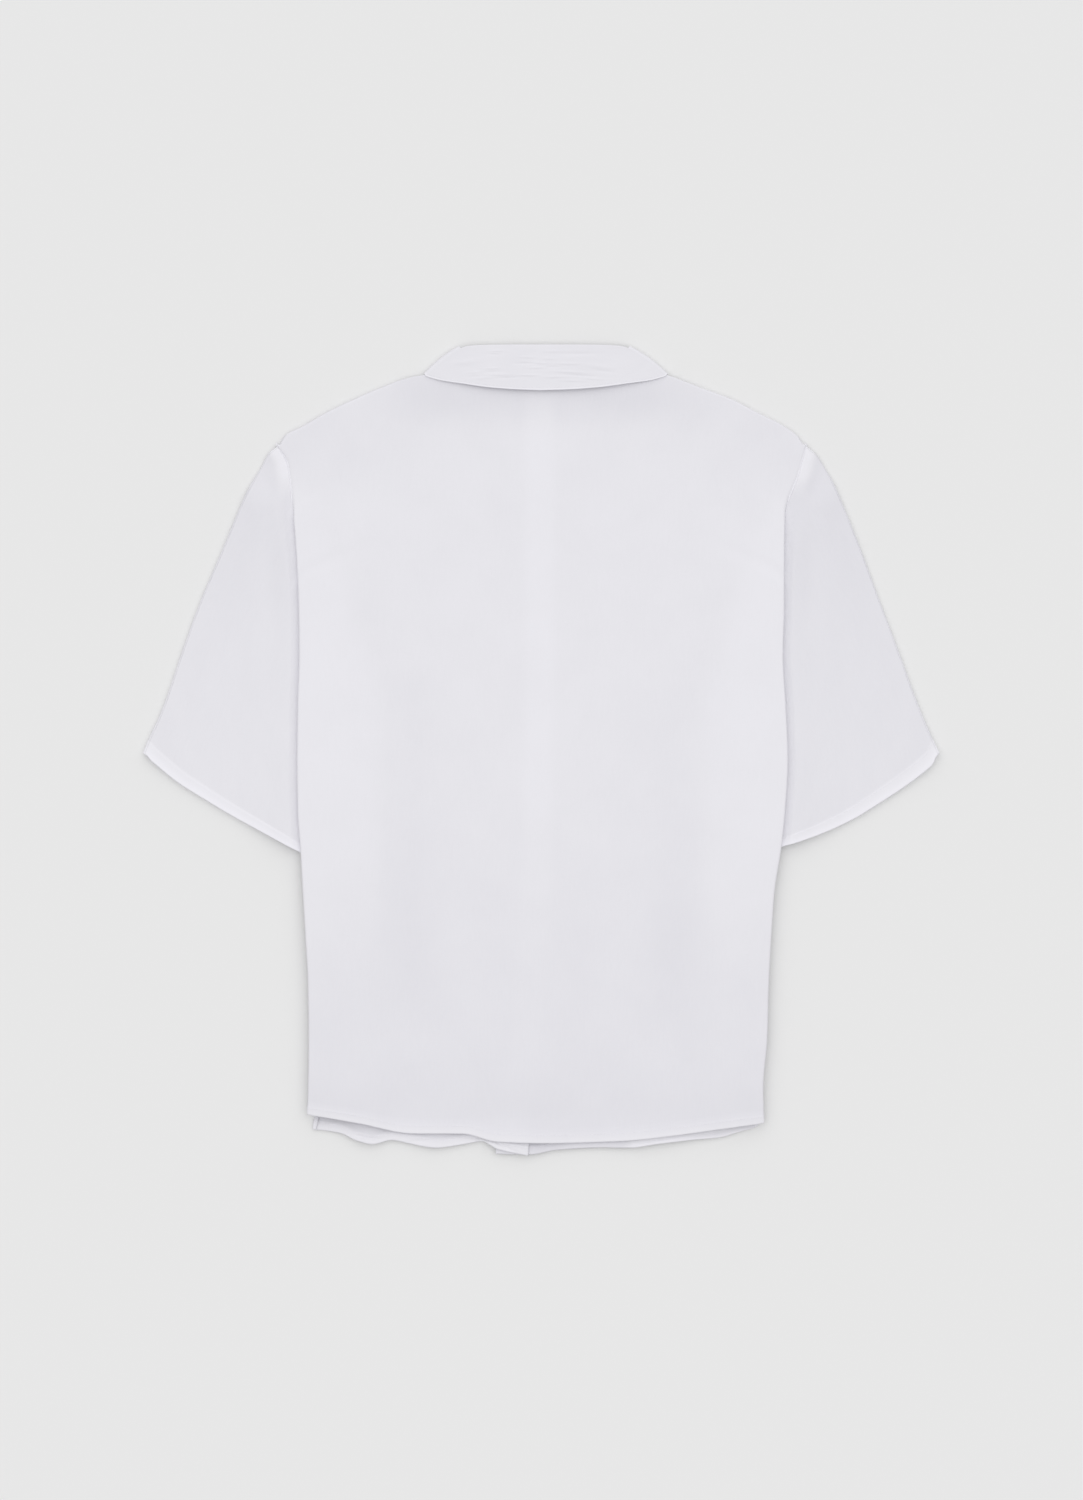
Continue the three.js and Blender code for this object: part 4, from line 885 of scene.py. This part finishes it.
def back_level(x, y):
    """Height of the middle of the back's cloth: its relief, drawn to the heights of its edges."""
    half = SOLID_WALL / 2
    width = (back_right[:, 0] - back_left[:, 0])[:, None]
    at_shoulder = rise(left_y, 120, 262)[:, None]

    def near_side(distance):
        over_tuck = 1 - 0.2 * rise(distance, 0, 28) - 0.8 * rise(distance, 30, 95)
        return mix(over_tuck, 1 - rise(distance, 0, 55), at_shoulder)

    def gap_at(edge):
        return back_side_level(edge[:, 1]) - back_relief(edge[:, 0], edge[:, 1]) - half

    left_weight, right_weight = near_side(u * width), near_side((1 - u) * width)
    top_weight = 1 - rise((1 - BODY_V) * (BODY_TOP - BODY_BOTTOM), 0, 70)[:, None]
    side_gap = left_weight * gap_at(back_left)[:, None] + right_weight * gap_at(back_right)[:, None]
    at_top = (
        back_relief(top[:, 0], top[:, 1]) + half
        + left_weight[-1] * gap_at(back_left)[-1] + right_weight[-1] * gap_at(back_right)[-1]
    )
    return back_relief(x, y) + half + side_gap + top_weight * (top_level - at_top)


grid, hem = body_grid(
    u, bottom, top, back_left, back_right, back_level, left_fold, right_fold, top_fold, 1
)
x, y = grid[..., 0], grid[..., 1]
from_middle = np.abs(x)
over_closing = 1 - rise(np.abs(x - closing_edge(y) + OVERLAP / 2), 6, 20)
tuck_end = mix(150, 205, rise(y, 30, 240))
over_tuck = rise(from_middle - tuck_end, -14, 14) * rise(y, -260, -90) * (1 - rise(y, 200, 250))
beside_tuck = np.exp(-((from_middle - 120) / 24) ** 2) * rise(y, -330, -160) * (1 - rise(y, 10, 110))
# Paler layers and hem, painted highlights on the ridges, painted shade and a painted shadow under the
# collar
tone = (
    OVER_CLOSING_LAYERS_AND_HIGHLIGHT_TONE * over_closing * (0.3 + 0.7 * rise(y, -200, 10))
    + OVER_TUCK_LAYERS_AND_HIGHLIGHT_TONE * over_tuck
    + BESIDE_TUCK_PAINTED_SHADE * beside_tuck
    + LOWER_BACK_PAINTED_SHADE * (1 - rise(y, -240, 20))
    + ABOVE_HEM_PAINTED_SHADE * (1 - rise(y, -350, -260))
    + UNDER_COLLAR_PAINTED_SHADOW * rise(y, 285, 325) * (1 - rise(from_middle, 80, 190))
    + SHOULDER_END_PAINTED_SHADE * rise(from_middle, 120, 210) * rise(y, 215, 275)
    + BACK_HEM_TONE * hem_pales(y - y[:1], BODY_HEM)
)
back, back_outer, back_normal = cloth_piece("back_panel_gauze", grid, hem, tone)
dress(back, gauze)
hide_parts("back_panel")
sew("back_stitches", [(back_outer[HEM_STITCH_ROW], back_normal[HEM_STITCH_ROW])])


# Sleeves
# Short wide set-in sleeves, each one piece of gauze sewn into a tube, pressed flat with a fold
# along the top and a deep turned hem at the cuff. Their heads are sewn in under the back's edge.
SLEEVE_FRONT_LEVEL = 3.2  # on the front's side fold
SLEEVE_PAIR = 1.5  # from the lower layer to the upper one
CUFF_HEM = 13
UNDERARM_X = 201  # inner end of the cuff
UNDERARM_Y = 69  # lower end of the armhole
SLEEVE_HEAD_Y = 284
SLEEVE_TIP_Y = -4  # outer end of the cuff
SLEEVE_HEAD_INSET = 3.4
OUTER_RADIUS = 1.7
# How much further the upper layer stands off: everywhere, at its fold, at the cuff, beside the body
FREE_LOFT = 0.5
FOLD_LOFT = 1.4
CUFF_LOFT = 0.8
BESIDE_LOFT = 3.4
SEAM_ROLL = 1.1  # of the seam allowance pressed towards the sleeve
SEAM_RADIUS = 0.75
SEAM_SPAN = (214, 282)  # of the seam that shows over the shoulder
SEAM_END_RADIUS = 0.3
# The armhole's seam is paler, partly from its layers of cloth and partly as a painted highlight on its
# ridge
SEAM_TUBE_LAYERS_AND_HIGHLIGHT_TONE = 0.5
SEAM_TUBE_CLOTH = 0.3
SLEEVE_TONE = -0.12
UPPER_SLEEVE_PAINTED_SHADE = -0.22  # more towards the head, over the armhole's seam, as painted shade
RIGHT_SLEEVE_TONE = -0.10
SEAM_LAYERS_AND_HIGHLIGHT_TONE = 0.75
CUFF_TONE = 1.6
# Small folds in the head of the sleeve, as soft ridges and troughs
HEAD_CREASES = table(
    "x y long wide tilt height",
    (247, 268, 9, 4, -24, 0.5), (256, 252, 22, 5, -22, -0.4), (243, 244, 24, 5, -10, 0.4),
    (262, 226, 40, 8, -20, 0.5), (251, 212, 38, 7, -9, -0.5), (276, 176, 52, 10, -18, 0.5),
    (296, 118, 60, 12, -14, -0.5), (268, 96, 56, 12, -6, 0.6), (318, 60, 50, 12, -18, 0.5),
    (288, 24, 52, 13, -8, -0.5), (252, 10, 46, 11, 0, 0.6),
)
SLEEVE_FOLD = table(
    "y left right",
    (-4, -366.3, 366.4), (9, -361.4, 360.4), (34, -350.2, 349.8), (85, -332.6, 331.0),
    (135, -314.8, 312.5), (185, -293.5, 293.9), (235, -272.3, 273.7), (259, -259.4, 261.9),
    (271, -253.0, 254.0), (281, -243.3, 244.0), (286, -238.8, 239.5),
)
CUFF = table(
    "x left right",
    (199, -106.0, -99.0), (221, -94.5, -89.0), (234.5, -87.5, -85.0), (260, -73.7, -75.8),
    (286, -59.5, -63.8), (310, -45.1, -49.2), (334, -30.0, -33.5), (356, -12.1, -16.5),
    (366, -3.5, -6.5),
)
SLEEVE_INSERT = table(
    "y depth",
    (69, 22), (100, 21), (146, 16), (168, 9), (190, 6.5), (226, 5.5), (265, 5.5), (280, 7),
)


def round_edge(plan, under, over, edge, inside, start, finish, steps=10):
    """Round edge that joins the two layers of a sleeve."""
    outward = unit(plan[:, edge] - plan[:, inside])
    radius, centre = (over - under)[:, edge] / 2, (over + under)[:, edge] / 2
    ring = []
    for angle in np.linspace(start, finish, steps + 1)[1:-1]:
        spot = plan[:, edge] + outward * (radius * math.sin(angle))[:, None]
        ring.append(np.concatenate([spot, (centre + radius * math.cos(angle))[:, None]], -1))
    return np.stack(ring, 1)


for side, node in ((-1, "sleeve_left"), (1, "sleeve_right")):
    column = "left" if side < 0 else "right"
    tip = np.array([read(SLEEVE_FOLD, "y", SLEEVE_TIP_Y, column), SLEEVE_TIP_Y])
    # a runs from the head to the cuff and b from the top fold to the underarm
    a = even((0, 0.06, 0.003), (0.06, 0.94, 0.0105), (0.94, 1, 0.004))
    b = even((0, 0.06, 0.012), (0.06, 1, 0.0125))
    fold_y = mix(SLEEVE_HEAD_Y, SLEEVE_TIP_Y, a)
    above, below = (read(SLEEVE_FOLD, "y", fold_y + step, column) for step in (2, -2))
    slope = (above - below) / 4
    outward = unit(np.stack([np.full(len(a), float(side)), -side * slope], -1))
    inset = mix(SLEEVE_HEAD_INSET, OUTER_RADIUS + SOLID_WALL / 2, rise(a, 0.0, 0.05))
    fold_x = read(SLEEVE_FOLD, "y", fold_y, column)
    fold_line = np.stack([fold_x, fold_y], -1) - outward * inset[:, None]
    head_y = mix(fold_line[0, 1], UNDERARM_Y, b)
    head_x = side_outline(side, head_y) - side * read(SLEEVE_INSERT, "y", head_y, "depth")
    head = np.stack([mix(fold_line[0, 0], head_x, rise(b, 0, 0.06)), head_y], -1)
    corner = np.array([side * UNDERARM_X, read(CUFF, "x", UNDERARM_X, column)])
    underarm = mix(head[-1], corner, a[:, None])
    cuff_x = mix(abs(fold_line[-1, 0]), UNDERARM_X, b)
    cuff_y = mix(fold_line[-1, 1], read(CUFF, "x", cuff_x, column), rise(b, 0, 0.03))
    cuff = np.stack([side * cuff_x, cuff_y], -1)
    plan = patch(head, cuff, fold_line, underarm, b, a)
    outside = side * (plan[..., 0] - side_outline(side, plan[..., 1]))
    under_head = mix(SLEEVE_FRONT_LEVEL, SOLID_WALL + GAP, rise(plan[..., 1], 226, 270))
    under = under_head * (1 - rise(outside, 2, 30)) + SOLID_WALL / 2
    free = rise(outside, 0, 40)
    beside_body = rise(outside, 0.5, 9.5) * (1 - rise(outside, 12, 60))
    at_head = rise(plan[..., 1], 222, 250)
    seam_roll = rise(outside, 0.1, 1.5) * (1 - rise(outside, 5, 26)) * at_head
    free_loft = FREE_LOFT + FOLD_LOFT * (1 - rise(b, 0, 0.2)) + CUFF_LOFT * rise(a, 0.75, 1)[:, None]
    loft = free * free_loft + BESIDE_LOFT * beside_body * (1 - at_head)
    creased = swells(HEAD_CREASES, side * plan[..., 0], plan[..., 1])
    loft = rise(a, 0, 0.12)[:, None] * loft + SEAM_ROLL * seam_roll + creased
    from_cuff = (1 - a) * np.linalg.norm(tip - fold_line[0])
    in_hem = hem_band(from_cuff, CUFF_HEM)[:, None]
    under = under + HEM_EXTRA / 2 * in_hem
    over = under + SLEEVE_PAIR + loft
    upper = np.concatenate([plan, over[..., None]], -1)
    lower = np.concatenate([plan, under[..., None]], -1)[:, ::-1]
    at_underarm = round_edge(plan, under, over, -1, -3, 0, math.pi)
    at_fold = round_edge(plan, under, over, 0, 2, math.pi, 0)
    grid = np.concatenate([upper, at_underarm, lower, at_fold], axis=1)
    hem = np.repeat(in_hem, grid.shape[1], axis=1)
    beyond = side * (grid[..., 0] - side_outline(side, grid[..., 1]))
    # Paler over the seam's layers under the sleeve's head, with a painted highlight along the seam's
    # ridge
    seam_layers_and_highlight = (1 - rise(beyond, 6, 16)) * rise(grid[..., 1], 228, 262)
    # The sleeve is painted deeper towards its head as shade
    tone = (
        SLEEVE_TONE + RIGHT_SLEEVE_TONE * (side > 0) + UPPER_SLEEVE_PAINTED_SHADE * rise(grid[..., 1], 60, 230)
        + SEAM_LAYERS_AND_HIGHLIGHT_TONE * seam_layers_and_highlight + CUFF_TONE * hem_pales(from_cuff, CUFF_HEM)[:, None]
    )
    piece, outer, normal = cloth_piece(f"{node}_gauze", grid, hem, tone, joined=True)
    dress(piece, gauze)
    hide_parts(node)
    row = int(np.argmin(np.abs(from_cuff - CUFF_HEM + HEM_STITCH_IN)))
    sew(f"{node}_stitches", [(outer[row], normal[row])])

    # The armhole's seam shows as a thin rolled edge over the shoulder and sinks in further down
    seam_start, seam_end = SEAM_SPAN
    seam_y = even((seam_start, seam_end, 1.2))[::-1]
    seam_x = side_outline(side, seam_y) + side * 0.35
    emerges = rise(seam_y, seam_start, 240)
    seam_radius = mix(SEAM_END_RADIUS, SEAM_RADIUS, emerges) * (1 - 0.6 * rise(seam_y, 279, seam_end))
    seam_z = side_end_level(seam_y) + mix(-0.5, 0.25, emerges) - 0.5 * rise(seam_y, 270, seam_end)
    turns = np.linspace(0, 2 * math.pi, 13)[:-1] * side
    ring = np.stack([
        seam_x[:, None] + seam_radius[:, None] * np.sin(turns),
        np.repeat(seam_y[:, None], len(turns), axis=1),
        seam_z[:, None] + seam_radius[:, None] * np.cos(turns),
    ], -1)
    # Paler tube: the seam's layers and a painted highlight on its ridge
    seam_tone = np.full(ring.shape[:2], SEAM_TUBE_LAYERS_AND_HIGHLIGHT_TONE)
    seam, _, _ = cloth_piece(
        f"armhole_seam_{column}_gauze", ring, np.zeros(ring.shape[:2]), seam_tone,
        joined=True, thickness=SEAM_TUBE_CLOTH,
    )
    dress(seam, gauze)


# Collar
# Stand and fall cut in one from doubled gauze across the grain, sewn to the neckline, folded over
# along its roll line and wrapped round the neck, so its front leaves lie under the fronts.
FALL_RADIUS = 3.0  # from the middle of the folded collar to the fall
FALL_LOFT = 2.4  # how far the fall's edge stands up at the middle of the back
FALL_SINK = 0.7  # and how far it is pressed down at its ends
END_BULGE = 1.6  # of its folded ends, which curve into the shoulders
FOLDED_STATION = 7  # in the table of the collar, where it is folded at the side of the neck
COLLAR_TONE = -0.12
RIM_LAYERS_AND_HIGHLIGHT_TONE = 0.6  # more, where the seam inside its edge makes a paler rim, with a painted highlight along the edge
RIM_STITCH_STRIP = -6
# Short creases across the fall, where the folded cloth is crushed
COLLAR_CREASES = table(
    "x y long wide tilt height",
    (-41, 366.5, 7, 0.9, 92, 0.35), (-43, 363.0, 6, 0.8, 89, -0.3), (-13, 360.5, 7, 0.9, 88, 0.35),
    (-16, 354.8, 8, 1.0, 92, -0.5), (-2, 355.4, 7, 0.9, 87, 0.4), (-5, 350.9, 8, 0.9, 91, 0.45),
    (-45, 350.4, 7, 0.9, 94, 0.35), (-44, 347.2, 8, 0.9, 92, -0.35), (-62, 346.6, 7, 0.9, 95, 0.3),
    (-61, 342.6, 6, 0.8, 93, -0.3), (-52, 341.4, 9, 0.9, 94, 0.35), (-39, 344.4, 9, 0.9, 91, 0.4),
    (-31, 341.6, 10, 0.9, 92, -0.4), (-11, 344.0, 9, 0.9, 89, 0.45), (9, 366.0, 7, 0.9, 91, 0.3),
    (31, 363.6, 19, 1.7, 90, -0.5), (7, 359.2, 6, 0.9, 88, 0.35), (25, 354.6, 12, 1.0, 89, 0.45),
    (9, 351.5, 7, 0.9, 92, -0.35), (25, 347.0, 14, 1.0, 88, 0.4), (36, 343.5, 14, 1.1, 87, -0.5),
    (12, 342.4, 10, 0.9, 91, 0.45), (29, 338.9, 10, 0.9, 88, 0.35), (47, 340.6, 8, 0.9, 86, 0.3),
    (52, 352.0, 12, 2.0, 84, 0.4), (-70, 356.0, 13, 2.4, 99, 0.4), (58, 347.5, 10, 1.2, 84, -0.3),
)
SEAM_SLACK = 0.1  # more room at the neck's seam
COLLAR_CLOTH = 0.9  # doubled gauze


def collar_half(side):
    scale = collar_scale(side)
    folded = {name: COLLAR[name][FOLDED_STATION] for name in COLLAR}
    along_x = scale * (folded["roll_x"] - folded["edge_x"])
    outward = unit(np.array([side * (folded["roll_y"] - folded["edge_y"]), -along_x]))
    at = even((0, 5, 0.07), (5, 9, 0.125), (9, 14, 0.1))
    value = {name: read(COLLAR, "station", at, name) for name in COLLAR}
    wrap = np.radians(value["wrap"])
    creased = np.stack([side * scale * value["seam_x"], value["seam_y"]], -1)
    behind = neck_point(side, BACK_NECK, value["seam_x"], GAP + SEAM_SLACK)
    before = neck_point(side, FRONT_NECK, value["seam_x"], GAP + SEAM_SLACK)
    seam = np.where((at <= 4)[:, None], behind, np.where((at >= 10)[:, None], before, creased))
    roll = np.stack([side * scale * value["roll_x"], value["roll_y"]], -1)
    edge = np.stack([side * scale * value["edge_x"], value["edge_y"]], -1)

    def place(plan, radius, fall):
        sideways = outward[None] * (radius * np.sin(wrap))[:, None]
        middle = 1 - rise(at, 1.5, 5)
        loft = (FALL_LOFT * middle - FALL_SINK * (1 - middle)) * fall * np.maximum(0, np.cos(wrap))
        height = COLLAR_MIDDLE + radius * np.cos(wrap) + loft
        return np.concatenate([plan + sideways, height[:, None]], -1)

    upward = unit(roll - seam)
    bend_radius = (FALL_RADIUS - STAND_RADIUS) / 2
    strips = [place(mix(seam, roll, t), STAND_RADIUS, 0) for t in np.linspace(0, 1, 9)]
    for angle in np.linspace(0, math.pi, 11)[1:-1]:
        plan = roll + upward * bend_radius * math.sin(angle)
        strips.append(place(plan, STAND_RADIUS + bend_radius * (1 - math.cos(angle)), 0))
    at_end = rise(at, 3.5, 5)[:, None] * outward
    for t in np.linspace(0, 1, 90):
        plan = mix(roll, edge, t) + END_BULGE * math.sin(math.pi * t) * at_end
        strip = place(plan, FALL_RADIUS, t)
        creased_here = rise(t, 0, 0.08) * (1 - rise(t, 0.94, 1)) * np.maximum(0, np.cos(wrap))
        strip[:, 2] += swells(COLLAR_CREASES, strip[:, 0], strip[:, 1]) * creased_here
        strips.append(strip)
    return np.stack(strips, 1)


grid = np.concatenate([collar_half(-1)[::-1], collar_half(1)[1:]])
strips = grid.shape[1]
# Paler rim at the fall's edge: the seam's layers and a painted highlight
rim = rise(np.arange(strips), strips - 6, strips - 3)
tone = np.tile(COLLAR_TONE + RIM_LAYERS_AND_HIGHLIGHT_TONE * rim, (len(grid), 1))
collar, collar_outer, collar_normal = cloth_piece(
    "collar_gauze", grid, np.zeros(grid.shape[:2]), tone, thickness=COLLAR_CLOTH
)
dress(collar, gauze)
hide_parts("collar")
sew("collar_stitches", [(collar_outer[:, RIM_STITCH_STRIP], collar_normal[:, RIM_STITCH_STRIP])])


# Buttons
# Six small pale resin buttons with a raised rim and four holes, cast and tumbled smooth. Each is
# sewn to the left front with thread and done up through a stitched buttonhole in the right one.
HOLE_OFF = 1.15
HOLE_RADIUS = 0.62
HOLES = [(HOLE_OFF * x, HOLE_OFF * y) for x in (-1, 1) for y in (-1, 1)]
HOLE_BOTTOM = 0.35  # above the button's back
FACE_SHARE = 0.62  # of the radius, inside the rim
FACE_DEPTH = 0.55  # below the top of the rim
# Share of the radius and depth below the top of the rim, from the face round to the back
RIM = (
    (0.68, 0.5), (0.73, 0.2), (0.79, 0.02), (0.86, 0), (0.93, 0.12), (0.98, 0.42),
    (1, 0.8), (0.985, 1.15), (0.92, 1.5),
)
# And height above the middle of the back
BUTTON_BACK = ((0.8, 0.22), (0.6, 0.06), (0.3, 0.0))
BUTTON_RINGS = 34
BUTTON_STEPS = 96
THREAD_HALF = 1.5  # of the thread's run over the face
THREAD_ACROSS = 0.22  # between its strands
FACE_THREAD = 0.34
BUTTONHOLE_HALF = 6.6
BUTTONHOLE_STITCH = 1.1
BUTTONHOLE_STEP = 0.45
SLIT_HALF = 0.15

# Polyester resin, cast and tumbled: a soft gloss over faint cloudy swirls
resin, tree = new_material("cast_polyester_resin")
position = add_node(tree, "ShaderNodeTexCoord").outputs["Object"]
cloud = add_node(tree, "ShaderNodeValToRGB", None, {"Fac": noise(tree, position, 260, 3, 2.5)})
for swirl, (where, shade) in zip(cloud.color_ramp.elements, ((0.3, "dcd9e0"), (0.7, "ece9ee"))):
    swirl.position = where
    swirl.color = linear(shade)
close_with_shader(
    tree,
    {"Roughness": 0.32, "IOR": 1.54, "Subsurface Weight": 0.1, "Subsurface Scale": 0.001},
    {
        "Base Color": cloud.outputs[0],
        "Normal": bump(tree, noise(tree, position, 1800, 2), 0.15, 0.00002),
    },
)

down = np.array([0.0, 0.0, -1.0])
for k in range(1, 7):
    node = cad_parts[f"button_{k}"]
    corners = np.array([node.matrix_world @ vertex.co for vertex in node.data.vertices]) * 1000
    low, high = corners.min(axis=0), corners.max(axis=0)
    centre, radius, height = (low + high) / 2, (high[0] - low[0]) / 2, high[2] - low[2]

    # The face looks down: rings from the middle of the face, over the rim to the middle of the back
    face_level = height - FACE_DEPTH
    profile = [(radius * FACE_SHARE * t, face_level) for t in np.linspace(0, 1, BUTTON_RINGS)[1:]]
    profile += [(radius * share, height - depth) for share, depth in RIM]
    profile += [(radius * share, level) for share, level in BUTTON_BACK]
    points = [(centre[0], centre[1], high[2] - face_level)]
    for reach, level in profile:
        for step in range(BUTTON_STEPS):
            turn = 2 * math.pi * step / BUTTON_STEPS
            x, y = reach * math.cos(turn), reach * math.sin(turn)
            nearest = min(math.hypot(x - hx, y - hy) for hx, hy in HOLES)
            in_hole = float(1 - rise(nearest, HOLE_RADIUS * 0.8, HOLE_RADIUS * 1.15))
            pit = (level - HOLE_BOTTOM) * in_hole if level > 1 else 0
            points.append((centre[0] + x, centre[1] + y, high[2] - level + pit))
    points.append((centre[0], centre[1], high[2]))
    around = [(step, (step + 1) % BUTTON_STEPS) for step in range(BUTTON_STEPS)]
    faces = [(0, 1 + after, 1 + step) for step, after in around]
    for ring in range(len(profile) - 1):
        inner, outer = 1 + ring * BUTTON_STEPS, 1 + (ring + 1) * BUTTON_STEPS
        faces += [(inner + step, inner + after, outer + after, outer + step) for step, after in around]
    faces += [(outer + step, outer + after, len(points) - 1) for step, after in around]
    button = new_object(f"button_{k}_resin", points, faces)
    dress(button, resin)
    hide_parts(f"button_{k}")

    # Thread over the face between the holes, and a satin-stitched buttonhole behind the button
    stitches = []
    face = low[2] + FACE_DEPTH
    for x in (-HOLE_OFF, HOLE_OFF):
        for beside in (-THREAD_ACROSS, 0.0, THREAD_ACROSS):
            middle = np.array([centre[0] + x + beside, centre[1], face])
            half_run = np.array([0.0, THREAD_HALF, 0.0])
            stitches.append((middle - half_run, middle + half_run, down, FACE_THREAD))
    for y in centre[1] + np.arange(-BUTTONHOLE_HALF, BUTTONHOLE_HALF, BUTTONHOLE_STEP):
        for way in (-1, 1):
            x = centre[0] + way * SLIT_HALF
            level = float(front_level(1, np.array(x), np.array(y))) + (SOLID_WALL - CLOTH) / 2
            start = np.array([x, y, level])
            end = start + np.array([way * BUTTONHOLE_STITCH, 0.0, 0.0])
            stitches.append((start, end, down, THREAD))
    sew(f"button_{k}_thread", [], stitches)
